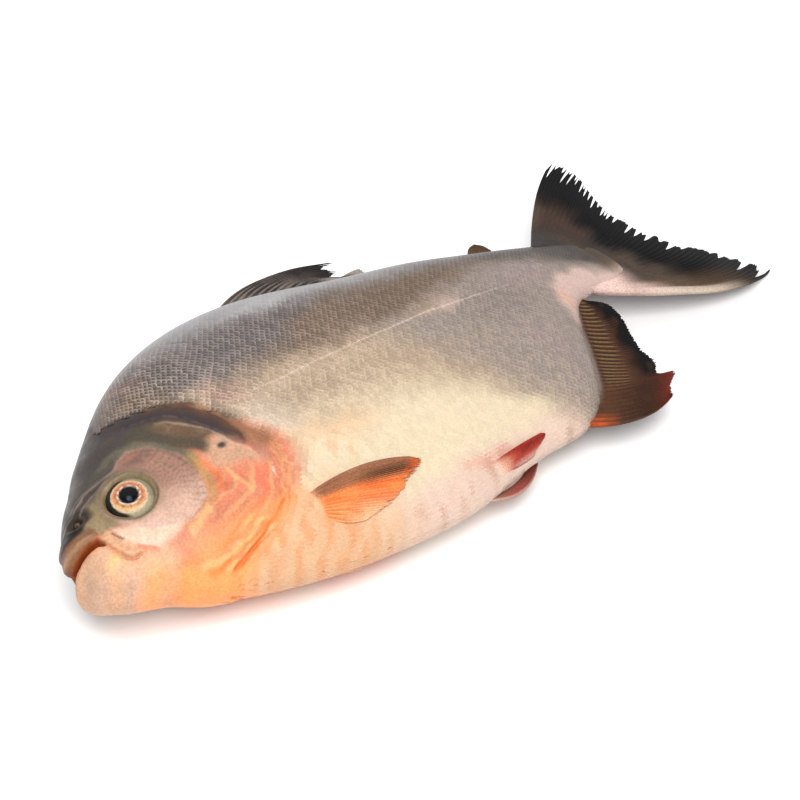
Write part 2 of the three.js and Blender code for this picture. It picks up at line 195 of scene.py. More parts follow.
FIN_ROWS = 40

# ---- colours

# The light over the fish is brighter than white, so a base colour is this share of the colour that shows.
FULL_LIGHT = 0.9
PALETTE = {
    "back": ("Slate of the back", "565154"),
    # The pale grey along the top of the back is partly painted highlight along the ridge.
    "ridge": ("Pale grey along the top of the back", "cac8ca"),
    "nape": ("Brown of the nape scales", "5f4830"),
    "umber": ("Warm grey above the lateral line", "6c5642"),
    "silver": ("Olive silver of the mid flank", "bca286"),
    "steel": ("Grey of the rear flank", "9c8f86"),
    "lilac": ("Lilac grey in front of the tail", "a3908f"),
    "cream": ("Cream of the belly", "f8e4c0"),
    "milk": ("Milky pink of the lowest belly", "f7d3c4"),
    "peach": ("Peach of the breast", "f5af7b"),
    "rose": ("Rose under the tail root", "e8c6bb"),
    # A scale's pale rim is partly its own pale edge and partly painted highlight; on the head this colour
    # also paints highlights along the brow and the bone edge.
    "pearl": ("Pale rim of a scale", "ecd3c2"),
    # The bright rims behind the gill are painted highlights.
    "glint": ("Bright rims behind the gill", "fff2e6"),
    "salmon": ("Salmon of the gill cover", "c97d5e"),
    "coral": ("Coral flush of the gill cover", "f17459"),
    "amber": ("Amber of the throat", "f99d5b"),
    "flame": ("Orange of the throat folds", "ee7430"),
    # Straw is partly pale streaks of the gill cover and partly painted highlight between the throat's folds.
    "straw": ("Straw light between the folds", "f1b277"),
    "cheek": ("Rose beige of the cheek plate", "997160"),
    "cheek_pale": ("Pale lower cheek", "c9a490"),
    "ivory": ("Ivory of the front cheek", "eabfa6"),
    "blush": ("Tan rose at the top of the cheek", "6c4e45"),
    "moss": ("Grey green rim round the cheek", "5d5848"),
    "olive": ("Olive band behind the cheek", "443c2e"),
    "mustard": ("Mustard line behind the cheek", "a88a4d"),
    "tan": ("Tan of the upper gill cover", "60482f"),
    "honey": ("Honey spots of the upper gill cover", "755e44"),
    "bisque": ("Greyish peach round the dark spot", "c2997b"),
    "mauve": ("Mauve at the rear of the gill cover", "9a7161"),
    # The dark band of the nape is painted shadow in the groove between the head and the scales; this colour
    # also paints the shade in the crease under the brow.
    "charcoal": ("Dark band of the nape", "30272a"),
    "rust": ("Rust line behind the dark band", "52341e"),
    "forehead": ("Grey of the forehead", "423b38"),
    "snout": ("Dark tip of the snout", "1a1109"),
    "lip": ("Upper lip", "7a563a"),
    "reed": ("Olive beige between lip and eye", "8f7c5b"),
    "jaw": ("Pink of the lower jaw", "d1a17d"),
    "jaw_yellow": ("Yellow flush of the lower jaw", "e8b577"),
    "mouth": ("Inside of the mouth", "994418"),
    "spot": ("Small dark spot on the gill cover", "3a3538"),
    "fin_black": ("Black margin of the fins", "0f0e10"),
    "fin_slate": ("Slate of the fin bases", "37322f"),
    "fin_brown": ("Brown of the fin rays", "513325"),
    "bracken": ("Brown grey above the gill cover", "554334"),
    "fin_tan": ("Tan of the breast fins", "96664a"),
    "fin_gold": ("Golden rays of the vent fin", "7f6442"),
    "fin_red": ("Red of the belly fins", "a31d1d"),
    "fin_orange": ("Orange of the breast fins", "e8622a"),
    "fin_pale": ("Pale web of the fins", "d5c3b0"),
}


def shade(code):
    """The base colour that shows as a six digit colour code in the studio's light, as red, green and blue."""
    parts = [int(code[i : i + 2], 16) / 255 for i in (0, 2, 4)]
    return tuple(FULL_LIGHT * (p / 12.92 if p <= 0.04045 else ((p + 0.055) / 1.055) ** 2.4) for p in parts)


def colour_property(label, code):
    limits = {"size": 3, "min": 0, "max": 1}
    return FloatVectorProperty(name=label, description=label, default=shade(code), subtype="COLOR", **limits)


def number(label, note, default, **more):
    return FloatProperty(name=label, description=note, default=default, **more)


class FishColours(PropertyGroup):
    """Base colours of the skin, the scales and the fins."""

    __annotations__ = {key: colour_property(label, code) for key, (label, code) in PALETTE.items()}


class FishSizes(PropertyGroup):
    """Sizes of what covers the fish, in metres."""

    scale_pitch: number("Scale pitch", "Distance between scales along a row", 2.7 * MM, unit="LENGTH")
    row_pitch: number("Row pitch", "Distance between rows of scales", 1.7 * MM, unit="LENGTH")
    scale_length: number("Scale length", "Length of a scale", 4.0 * MM, unit="LENGTH")
    scale_width: number("Scale width", "Width of a scale", 3.9 * MM, unit="LENGTH")
    scale_rise: number("Scale rise", "Height of a scale's free edge over the skin", 0.22 * MM, unit="LENGTH")
    iris_radius: number("Iris", "Outer radius of the iris", 7.2 * MM, unit="LENGTH")
    pupil_radius: number("Pupil", "Radius of the pupil", 3.9 * MM, unit="LENGTH")
    seed: IntProperty(name="Seed", description="Seed of the small irregularities", default=7)


class StudioSettings(PropertyGroup):
    """Camera, floor and light."""

    azimuth: number("Azimuth", "Camera turn", math.radians(-45), subtype="ANGLE")
    elevation: number("Elevation", "Camera height", math.radians(40), subtype="ANGLE")
    distance: number("Distance", "Camera to target", 1.1, unit="LENGTH")
    target: FloatVectorProperty(
        name="Target",
        description="Where the camera looks",
        default=(-0.01572, -0.00633, 0.0218),
        subtype="TRANSLATION",
    )
    lens: number("Lens", "Focal length in millimetres", 117.3)
    sky: number("Sky", "Strength of the white surround", 0.64)
    key: number("Key light", "Power of the large light behind the fish", 5.0)
    fill: number("Fill light", "Power of the large light in front", 22.0)


# ---- curves and profiles


def natural_spline(knots, values):
    """A natural cubic spline through the knots, as a function of an array."""
    knots, values = np.asarray(knots, float), np.asarray(values, float)
    step = np.diff(knots)
    slope = np.diff(values) / step
    system = np.eye(len(knots))
    turn = np.zeros(len(knots))
    for i in range(1, len(knots) - 1):
        system[i, i - 1 : i + 2] = step[i - 1], 2 * (step[i - 1] + step[i]), step[i]
        turn[i] = 6 * (slope[i] - slope[i - 1])
    bend = np.linalg.solve(system, turn)

    def at(t):
        i = np.clip(np.searchsorted(knots, t) - 1, 0, len(step) - 1)
        a = (knots[i + 1] - t) / step[i]
        b = (t - knots[i]) / step[i]
        curve = (a**3 - a) * bend[i] + (b**3 - b) * bend[i + 1]
        return a * values[i] + b * values[i + 1] + curve * step[i] ** 2 / 6

    return at


def along_root(x):
    return np.sqrt(np.clip(np.asarray(x, float) / BODY_LENGTH, 0, 1))


def profile(column):
    table = np.array(STATIONS)
    spline = natural_spline(along_root(table[:, 0]), table[:, column])
    return lambda x: spline(along_root(x))


back_line, belly_line, half_width, widest_level = (profile(column) for column in (1, 2, 3, 4))
middle_height = natural_spline(SAG_AT, SAG_HEIGHT)


def catmull(points, t):
    """Points of a centripetal Catmull-Rom curve at the shares t of its run."""
    points = np.asarray(points, float)
    ends = np.vstack([2 * points[0] - points[1], points, 2 * points[-1] - points[-2]])
    place = np.clip(np.asarray(t, float), 0, 1) * (len(points) - 1)
    i = np.minimum(place.astype(int), len(points) - 2)
    w = (place - i)[:, None]
    p0, p1, p2, p3 = (ends[i + k] for k in range(4))
    spans = ((p0, p1), (p1, p2), (p2, p3))
    d0, d1, d2 = (np.sqrt(np.linalg.norm(b - a, axis=1, keepdims=True)) for a, b in spans)
    m1 = ((p1 - p0) / d0 - (p2 - p0) / (d0 + d1) + (p2 - p1) / d1) * d1
    m2 = ((p2 - p1) / d1 - (p3 - p1) / (d1 + d2) + (p3 - p2) / d2) * d1
    return p1 + m1 * w + (3 * (p2 - p1) - 2 * m1 - m2) * w**2 + (2 * (p1 - p2) + m1 + m2) * w**3


def smooth(value, start, end):
    """0 at start, 1 at end, with soft ends between. It falls where the start is above the end."""
    t = np.clip((value - start) / (end - start), 0, 1)
    return t * t * (3 - 2 * t)


def near(value, at, width):
    """1 at a value, fading out over the width to both sides of it."""
    return np.exp(-(((value - at) / width) ** 2))


def from_line(line, x, y, reach=None):
    """Distance from a line, positive on the face's side of one that runs down, and the share of its run."""
    points = np.asarray(line, float)
    nearest = np.full(np.shape(x), 1e6)
    facing = np.ones(np.shape(x))
    share = np.zeros(np.shape(x))
    use = np.ones(np.shape(x), bool)
    if reach is not None:
        low, high = points.min(0) - reach, points.max(0) + reach
        use = (x > low[0]) & (x < high[0]) & (y > low[1]) & (y < high[1])
    px, py = np.asarray(x)[use], np.asarray(y)[use]
    best, side, run = nearest[use], facing[use], share[use]
    for i, ((ax, ay), (bx, by)) in enumerate(zip(points[:-1], points[1:])):
        dx, dy = bx - ax, by - ay
        t = np.clip(((px - ax) * dx + (py - ay) * dy) / (dx * dx + dy * dy), 0, 1)
        off_x, off_y = px - ax - t * dx, py - ay - t * dy
        away = np.hypot(off_x, off_y)
        closer = away < best
        best = np.where(closer, away, best)
        side = np.where(closer, np.where(dy * off_x - dx * off_y < 0, -1.0, 1.0), side)
        run = np.where(closer, (i + t) / (len(points) - 1), run)
    nearest[use], facing[use], share[use] = best, side, run
    return nearest, facing, share


def curved(line, count=28):
    return catmull(line, np.linspace(0, 1, count))


def shifted(line, dx, dy):
    return tuple((x + dx, y + dy) for x, y in line)


def stroke(line, x, y, width, soft=0.9, ends=0.12):
    """1 along a curved line, fading out over its width and at its ends."""
    away, _, run = from_line(curved(line), x, y, reach=2 * width + 1)
    taper = smooth(run, 0, ends) * smooth(1 - run, 0, ends) if ends else 1.0
    return smooth(away, width, width * (1 - soft)) * taper


def patch(x, y, at, size, turn=0, soft=0.9):
    """1 in the middle of an oval spot and 0 outside it."""
    dx, dy = x - at[0], y - at[1]
    a = math.radians(turn)
    u = (dx * math.cos(a) + dy * math.sin(a)) / size[0]
    v = (dy * math.cos(a) - dx * math.sin(a)) / size[1]
    return 1 - smooth(np.hypot(u, v), 1 - soft, 1)


def inside_ring(ring, x, y, reach):
    """Distance into a closed outline, negative outside it."""
    ring = tuple(ring) + tuple(ring[:1])
    away, _, _ = from_line(ring, x, y, reach=reach)
    crossed = np.zeros(np.shape(x), bool)
    for (ax, ay), (bx, by) in zip(ring[:-1], ring[1:]):
        if ay == by:
            continue
        spans = (ay > y) != (by > y)
        crossed ^= spans & (x < (bx - ax) * (y - ay) / (by - ay) + ax)
    return np.where(crossed, away, -away)


def zone(ring, x, y, soft=1.5):
    """1 inside a rounded outline and 0 outside it, with a soft border."""
    points = np.vstack([ring, ring[:1]])
    rounded = catmull(points, np.linspace(0, 1, 4 * len(ring), endpoint=False))
    return smooth(inside_ring([tuple(p) for p in rounded], x, y, 2 * soft + 1), -soft, soft)


def wander(x, y, size, seed):
    """A soft random field between about -1 and 1, with features of the given size."""
    rng = np.random.default_rng(seed)
    total = np.zeros(np.shape(x))
    for _ in range(9):
        angle, phase = rng.uniform(0, 2 * math.pi), rng.uniform(0, 2 * math.pi)
        stretch = rng.uniform(0.6, 1.6)
        wave = 2 * math.pi / (size * stretch * 2)
        total = total + np.sin((x * math.cos(angle) + y * math.sin(angle)) * wave + phase)
    return total / 4.0


# ---- form of the body


def lay_plain(x, y, side):
    rise = y - ROLL_LEVEL
    level = ROLL_LEVEL + rise * math.cos(ROLL) - side * math.sin(ROLL)
    height = middle_height(x) + rise * math.sin(ROLL) + side * math.cos(ROLL)
    return np.stack(np.broadcast_arrays(x + 0.0 * level, level, height), -1)


def halves(x, above):
    """The widest level, and the height and the fullness of the half of the section above or below it."""
    widest = widest_level(x)
    reach = np.where(above, back_line(x) - widest, widest - belly_line(x))
    return widest, reach, np.where(above, FULL_ABOVE, FULL_BELOW)


def flank(x, y):
    """How far the plain flank lies from the middle plane."""
    widest, reach, power = halves(x, y >= widest_level(x))
    share = np.minimum(np.abs(y - widest) / np.maximum(reach, 1e-6), 1)
    return half_width(x) * (1 - share**power) ** (1 / power)


def facing(x, y, hand):
    """The direction that the flank faces at a place, hand +1 for the left flank and -1 for the right."""

    def skin(px, py):
        return lay_plain(px, py, hand * flank(px, py))

    out = np.cross(skin(x + 1, y) - skin(x - 1, y), skin(x, y + 1) - skin(x, y - 1)) * hand
    return out / np.linalg.norm(out)


def eye_centre(hand):
    x, y = EYE["x"], EYE["y"]
    skin = lay_plain(x, y, hand * (flank(x, y) + CHEEK["lift"]))
    return skin - EYE["sunk"] * facing(x, y, hand)


def middle_of(node):
    low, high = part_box(node)
    return np.array((low + high) / 2)


SNOUT = middle_of("eye_left") - eye_centre(1) * MM
FLOOR_GAP = 0.06


def settle(places):
    """Presses what would lie under the floor flat on it. Places are in millimetres."""
    z = places[..., 2]
    places[..., 2] = 0.5 * (z + np.sqrt(z * z + 4 * FLOOR_GAP**2)) - FLOOR_GAP * 0.5
    return places


def to_frame(places):
    return settle(np.array(places)) * MM + SNOUT


def lay(x, y, side):
    """Places on the fish in metres of the frame, lying on the floor."""
    return to_frame(lay_plain(x, y, side))


def section(x, turn):
    """y and side of the plain skin, by the angle round the fish from its left flank up to the back."""
    rise, across = np.sin(turn), np.cos(turn)
    widest, reach, power = halves(x, rise >= 0)
    y = widest + reach * np.sign(rise) * np.abs(rise) ** (2 / power)
    return y, half_width(x) * np.sign(across) * np.abs(across) ** (2 / power)


def gill_cover(x, y):
    """Height of the head's low relief: the gill cover and the bony cheek plate."""
    away, hand, _ = from_line(GILL_EDGE, x, y)
    inside = away * hand
    nape = smooth(y, 46, 26)
    cover = smooth(inside, 0, GILL_RAMP) * smooth(inside, GILL_FADE, GILL_RAMP) * nape
    share = np.hypot((x - CHEEK["x"]) / CHEEK["along"], (y - CHEEK["y"]) / CHEEK["across"])
    return GILL_LIFT * cover + CHEEK["lift"] * smooth(share, 1, 0.8)


# Ridges and creases of the head: height, line, width, and for one the share of its run over which each
# end fades.
RELIEF = (
    (-0.45, NAPE_BAND, 6.0), (0.3, BONE_EDGE, 2.0), (-0.5, CHEEK_EDGE, 1.8), (0.4, BROW, 2.2),
    (-0.35, shifted(BROW, 0.6, -2.2), 2.0), (-1.1, MAXILLA_FRONT, 0.9, 0.05),
    (0.8, shifted(MAXILLA_FRONT, 2, 0.8), 2.4), (-0.9, MAXILLA_SLIT, 0.7), (-0.9, MAXILLA_BACK, 0.8),
    (-0.6, THROAT_FOLDS[0], 1.3), (-1.0, THROAT_FOLDS[1], 1.3), (-0.4, THROAT_FOLDS[2], 1.3),
)


def carving(x, y):
    """Height of the fine forms of the head over its skin: lips, creases, lids and nostrils."""
    height = 0.35 * wander(x, y, 14, 3) * smooth(x, 6, 20)
    for rise, line, width, *ends in RELIEF:
        height += rise * stroke(line, x, y, width, 0.9, *ends)
    away, hand, _ = from_line(curved(GILL_EDGE), x, y, reach=6)
    height -= 1.3 * near(away * hand, -1.0, 0.9) * smooth(-y, -30, -20)
    # lid and socket of the eye
    d = np.hypot(x - EYE["x"], y - EYE["y"])
    height += 0.9 * near(d, 12.0, 1.5)
    height -= 5.0 * smooth(d, 10.6, 8.6)
    # nostril: a sunk ring with a raised flap in it
    n = np.hypot((x - NOSTRIL[0]) / 1.15, y - NOSTRIL[1])
    height += 0.45 * near(n, 3.4, 0.9) - 1.6 * near(n, 1.7, 0.8)
    # lips and mouth
    inner = inside_mouth(x, y)
    above = smooth(y, 1.5, 3.5)
    front = smooth(13 - x, 0, 2.5)
    lip = near(inner, -1.7, 1.3)
    height += (0.9 * above + 0.5 * (1 - above)) * lip * front
    height -= 0.4 * near(inner, -5.6, 1.2) * above * front
    height -= MOUTH_DEPTH * smooth(inner, -0.25, 0.9)
    # fine wrinkles of the soft gill edge
    soft = smooth(away, 7, 0) * smooth(-y, -4, 4)
    height += 0.22 * soft * np.sin(3.1 * away + 2.2 * wander(x, y, 6, 11))
    return height


def inside_mouth(x, y):
    """Distance into the open mouth from its lips, negative outside it."""
    return inside_ring(MOUTH, x, y, 9)


# ---- colour of the skin


def over(line, x, y):
    """How far a place lies above a line that runs from the head to the tail."""
    xs, ys = zip(*line)
    return y - np.interp(x, xs, ys)


class Coat:
    """Colours that are laid over one another on places x and y. look() gives the colour of a key."""

    def __init__(self, look, x, y, first):
        self.look, self.x, self.y = look, x, y
        self.tint = np.zeros(np.shape(x) + (3,)) + look(first)

    def blend(self, tint, share):
        share = np.clip(share, 0, 1)[..., None]
        self.tint = self.tint * (1 - share) + np.asarray(tint) * share

    def __call__(self, key, strength, *shares):
        """Lays on a colour. A share is an array, an oval spot as for patch() or a slope as for smooth()."""
        for share in shares:
            if isinstance(share, tuple):
                share = patch(self.x, self.y, *share) if isinstance(share[0], tuple) else smooth(*share)
            strength = strength * share
        self.blend(self.look(key), strength)


# Borders of the flank's colours, each as [x, y] from the head to the tail.
CREAM_EDGE = (
    (80, -4), (96, -8), (120, -15), (145, -20), (168, -26), (186, -36), (200, -49), (210, -60), (224, -72),
    (304, -90),
)
STEEL_EDGE = ((150, 60), (165, 26), (178, 6), (190, -14), (203, -40), (214, -62))
UMBER_EDGE = ((84, 24), (110, 21), (150, 17.5), (200, 17), (240, 24), (304, 24))
SLATE_EDGE = (
    (60, 46), (78, 38), (100, 31), (120, 31), (138, 36), (152, 46), (168, 52), (196, 52), (222, 42),
    (255, 33), (304, 24),
)
# RIDGE_EDGE bounds the pale band along the top of the back, which is partly painted highlight.
RIDGE_EDGE = ((62, 76), (84, 72), (110, 66), (140, 63), (170, 58), (200, 50), (230, 47), (262, 38), (304, 28))
TAIL_PINK = (
    (261, -8), (263, -3), (267, 3.5), (274.5, 7), (285, 4.5), (293.8, 0.3), (304, -5), (313, -7), (313, -22),
    (286, -22), (260, -24),
)


def paint_flank(look, x, y):
    """Colour of the scaly body."""
    x0, y0 = x, y
    x, y = x + 1.8 * wander(x, y, 8, 21), y + 1.8 * wander(x, y, 8, 22)
    broad = wander(x, y, 24, 23)
    blotch = wander(x, y, 3.4, 24)
    coat = Coat(look, x, y, "cream")
    coat("milk", 0.75, (-y, 48, 60), (x, 96, 125))
    front = smooth(x + 0.5 * y, 104, 62)
    coat("peach", front, (-y, 24, 38), 0.65 + 0.35 * smooth(blotch, -0.3, 0.9))
    coat("peach", 0.3, (-y, 40, 54), (x, 108, 78), (blotch, -0.8, 0.6))
    coat("amber", 0.3, ((88, -43), (9, 6), 10))
    coat("salmon", 0.62, ((93, -15), (10, 17), 8, 0.8), (blotch, -1.3, 0.3))
    coat("peach", 0.4, ((112, -22), (22, 14)), (blotch, -0.4, 0.8))
    above = over(CREAM_EDGE, x, y)
    coat("peach", 0.35, near(above, 0, 8), (x, 150, 120))
    coat("silver", 0.5 * smooth(above, -6, 12) + 0.42 * smooth(above, 6, 24 + 3 * broad))
    coat("pearl", 0.45, ((98, 3), (17, 18)))
    away, hand, _ = from_line(STEEL_EDGE, x, y)
    behind = -away * hand
    coat("steel", 0.92, (behind, -16, 16 + 4 * broad), (above, -3, 10))
    coat("silver", 0.3, (blotch, 0.1, 1.0), (behind, -6, 10), (behind, 44, 20))
    coat("umber", 0.95, (over(UMBER_EDGE, x, y), -4, 12 + 3 * broad), (x, 84, 112))
    coat("silver", 0.3, (broad, 0.1, 0.9), ((170, 34), (34, 14), -8))
    coat("lilac", 0.65, ((256, 14), (26, 17)))
    coat("back", 0.28 * patch(x, y, (232, 4), (34, 26), -10) + 0.3 * patch(x, y, (262, 26), (20, 9), -20))
    coat("umber", 0.22, ((118, 6), (30, 10), -4))
    coat("silver", 0.4, ((204, 18), (24, 8), -4))
    coat("lilac", 0.4, ((236, -30), (14, 34), 20))
    coat("back", 0.95, (over(SLATE_EDGE, x, y), -9, 9 + 3 * broad))
    coat("nape", 0.35, ((185, 49), (30, 5), -6))
    coat("nape", 0.85, ((70, 47), (28, 13), -16, 0.8))
    coat("fin_slate", 0.5, ((87, 49), (24, 13), -30))
    coat("back", 0.9, ((88, 49), (26, 14), -30), (blotch, -1.4, 0.4))
    coat("mauve", 0.75, ((93, 26), (18, 11), -50))
    # the top of the back: pale grey that is partly painted highlight, and a painted highlight stripe along
    # the ridge
    coat("ridge", 0.65, (over(RIDGE_EDGE, x, y), -13, 12))
    coat("ridge", 0.6, ((152, 64), (34, 8), -8))
    coat("fin_slate", 0.3, ((86, 50), (18, 9), -30))
    coat("salmon", 0.16, ((71, 60), (12, 6), -30))
    coat("rose", 0.4, ((210, 15), (14, 6.5), -10), (blotch, -1.2, 0.2))
    coat("rose", 0.95, zone(TAIL_PINK, x, y, 2.6))
    coat("peach", 0.35, ((266, -8), (6, 7), 30))
    coat("back", 0.1, (y, 56, 68), (x, 100, 70))
    root_top = over(((270, 10), (284, 8), (296, 1), (306, -3)), x, y)
    coat("fin_slate", 0.62 + 0.2 * smooth(blotch, -0.4, 0.6), (x, 274, 294), (root_top, 0, 6))
    coat("back", 0.4, (over(((252, 32), (272, 24), (290, 18), (306, 14)), x, y), -4, 6), (x, 246, 262))
    coat("fin_slate", 0.35, (x, 268, 284), (y, 13, 24))
    coat("fin_slate", 0.72, (x, 290, 303), (over(((286, 6), (304, 0)), x, y), -3, 5))
    coat("umber", 0.4 * smooth(x, 298, 306) + 0.4 * smooth(x, 294, 302) * smooth(y, -6, 1))
    coat("mauve", 0.4, patch(x0, y0, (209, -63), (4.5, 3), 8, 1.0))
    # flush round the belly fins and along the keel
    coat("salmon", 0.45, ((166, -60), (17, 5), 2), (blotch, -0.9, 0.5))
    coat("coral", 0.3, stroke(((148, -55.5), (166, -57.4), (180, -57.2)), x0, y0, 3.2, 1.0))
    coat("salmon", 0.3, (blotch, 0.1, 0.9), (-y, 56, 64), (x, 100, 118), (x, 172, 150))
    saddle = over(((240, 34), (262, 19), (280, 9), (296, 2), (306, -3)), x, y)
    coat("fin_slate", 0.6, (saddle, -2, 9), (x, 232, 264))
    return coat.tint


CHEEK_PLATE = (
    (39, 26.5), (46.5, 27.8), (52.7, 23.6), (57, 16.4), (59.2, 8), (58.5, 0), (56.8, -5), (53.3, -10),
    (46.7, -12.8), (40, -13), (30, -9), (23, -2.5), (19.5, 4), (22, 16), (32, 22),
)
HONEY_PATCH = ((62, 33), (65, 30), (69, 24.5), (68, 21), (65, 22), (62, 28))
# Skin between the nape's band and the first scales, darkened with the band's painted shadow.
BEHIND_BAND = (
    (42, 43), (48, 48), (56, 46.5), (64, 42.5), (72, 36.5), (78, 27.5), (81.5, 18), (81, 10), (77, 15),
    (72, 26), (65, 34), (58, 39), (50, 41),
)
# Areas of the head: colour, strength, softness of the border, and outline as [x, y].
HEAD_ZONES = (
    ("moss", 0.9, 3.0, (
        (9, 9), (12, 22), (20, 27), (32, 31), (46, 34), (56, 30), (61, 18), (62, 6), (54, -4), (40, -6),
        (22, 0),
    )),
    ("bracken", 0.95, 2.4, (
        (42, 30), (46, 38), (54, 42), (62, 41), (69, 36), (75, 29), (79, 20), (80.5, 11), (79, 6), (72, 9.5),
        (68, 11), (63, 17), (58, 25), (52, 31),
    )),
    ("fin_tan", 0.9, 2.4, ((83, 26), (87, 15), (90.5, 5), (94, -3), (88, -7), (85, -1), (83, 9), (80, 20))),
    ("rust", 0.95, 1.8, (
        (48, 48), (56, 46), (63.5, 43), (71.5, 37.8), (78, 31), (82.5, 22), (85, 13), (85.5, 5), (83, 0),
        (81, 6), (79, 14), (75, 25), (70, 32), (62, 38), (54, 41), (46, 43),
    )),
    ("jaw", 1.0, 4.0, (
        (-4, 6), (8, 2), (12, -2), (14, -9), (21, -13), (29, -16), (31, -22), (20, -25), (6, -28), (-6, -18),
    )),
    ("ivory", 0.95, 2.2, (
        (17, 4), (23, -2), (33, -3), (42, -8), (48, -12.5), (38, -14), (28, -16), (21, -11), (16, -4),
    )),
    ("cheek_pale", 1.0, 1.0, CHEEK_PLATE),
    ("reed", 0.85, 1.6, ((11.5, 11.5), (15.5, 16), (20, 18), (21, 10), (20, 4), (16, 3.5), (12.5, 4))),
    ("lip", 0.95, 1.0, (
        (-3, 11.5), (5, 11.2), (10.5, 11), (12.3, 8), (11.8, 4.4), (7, 3.6), (3, 4), (-3, 5.6),
    )),
    ("jaw", 0.9, 0.9, (
        (11.4, 3), (15.5, 3.4), (16.8, -3.4), (19, -8), (22, -12), (17.5, -12.8), (13.6, -9), (12, -5),
    )),
    ("olive", 0.95, 1.8, (
        (44, 34), (50, 38), (57, 41), (64, 37.5), (66, 32), (62.5, 27), (65, 19), (69.5, 12.5), (72.5, 7.5),
        (68.5, 4.5), (64.5, 8.5), (60.5, 14), (57.4, 20), (53, 27), (48, 31),
    )),
    ("tan", 0.5, 2.2, (
        (60.5, 34.5), (67.5, 28), (72, 22), (75, 15.5), (76, 10.5), (73, 9.5), (69.5, 14), (65.3, 19.5),
        (62.5, 25.5), (59.5, 30),
    )),
    ("bisque", 0.9, 3.6, (
        (69, 6.5), (73, 9), (77.5, 9.5), (80.5, 2.5), (83, -4.5), (81.5, -10), (76.5, -7), (70, -5.5),
        (66, -2.5), (65.5, 3),
    )),
)
# Lines of the head: colour, strength, width and run as [x, y].
HEAD_LINES = (
    ("moss", 0.85, 2.6, ((30, 30), (38, 31), (46, 30), (52.8, 25), (57.2, 18), (60.6, 11), (63.5, 5))),
    ("mustard", 0.55, 2.8, ((60.8, 12), (61.4, 4), (60.4, -3), (57.6, -9.4), (53, -13.4))),
    ("jaw_yellow", 0.6, 3.4, ((54, -13), (47, -16.4), (38, -17.6))),
    ("flame", 0.45, 2.6, ((63, 4), (64, -3), (62.6, -9), (58.5, -13.6))),
    # pale lines along the raised bone edge: painted highlight
    ("honey", 0.6, 1.5, BONE_EDGE[:4]),
    ("pearl", 0.22, 0.8, BONE_EDGE),
    ("straw", 0.5, 1.7, ((68.6, -5), (69.4, -12), (69, -19))),
    # painted highlights on the skin between and beside the throat's folds
    ("straw", 0.75, 1.6, ((34, -25.4), (46, -30.2), (58, -31.2), (70, -28.8))),
    ("straw", 0.6, 1.2, ((42, -32.6), (52, -34.9), (62, -33.8))),
    ("flame", 0.85, 1.3, THROAT_FOLDS[1]),
    ("flame", 0.6, 1.2, THROAT_FOLDS[0]),
    ("flame", 0.35, 1.0, THROAT_FOLDS[2]),
    ("reed", 0.55, 0.7, ((37, -13.1), (44, -13.3), (50, -12.4), (54, -9.8))),
    ("coral", 0.5, 1.1, MAXILLA_BACK),
    ("salmon", 0.6, 1.1, MAXILLA_FRONT),
    ("rust", 0.8, 0.6, MAXILLA_SLIT),
    # Brow: painted shade in the crease under the raised brow, and painted highlights on the brow and on the
    # skin below the crease.
    ("charcoal", 0.68, 2.6, shifted(BROW, 0.8, -1.2)),
    ("pearl", 0.16, 0.9, BROW),
    ("ridge", 0.15, 0.8, shifted(BROW, 1.0, -2.9)),
)
FOREHEAD_EDGE = (
    (0, 11.5), (5, 11), (10.5, 11), (13, 19), (17, 23.6), (23, 25.2), (30, 24.8), (36, 24.4), (40, 28.4),
    (46, 30.5), (53, 34), (60, 39), (80, 46),
)


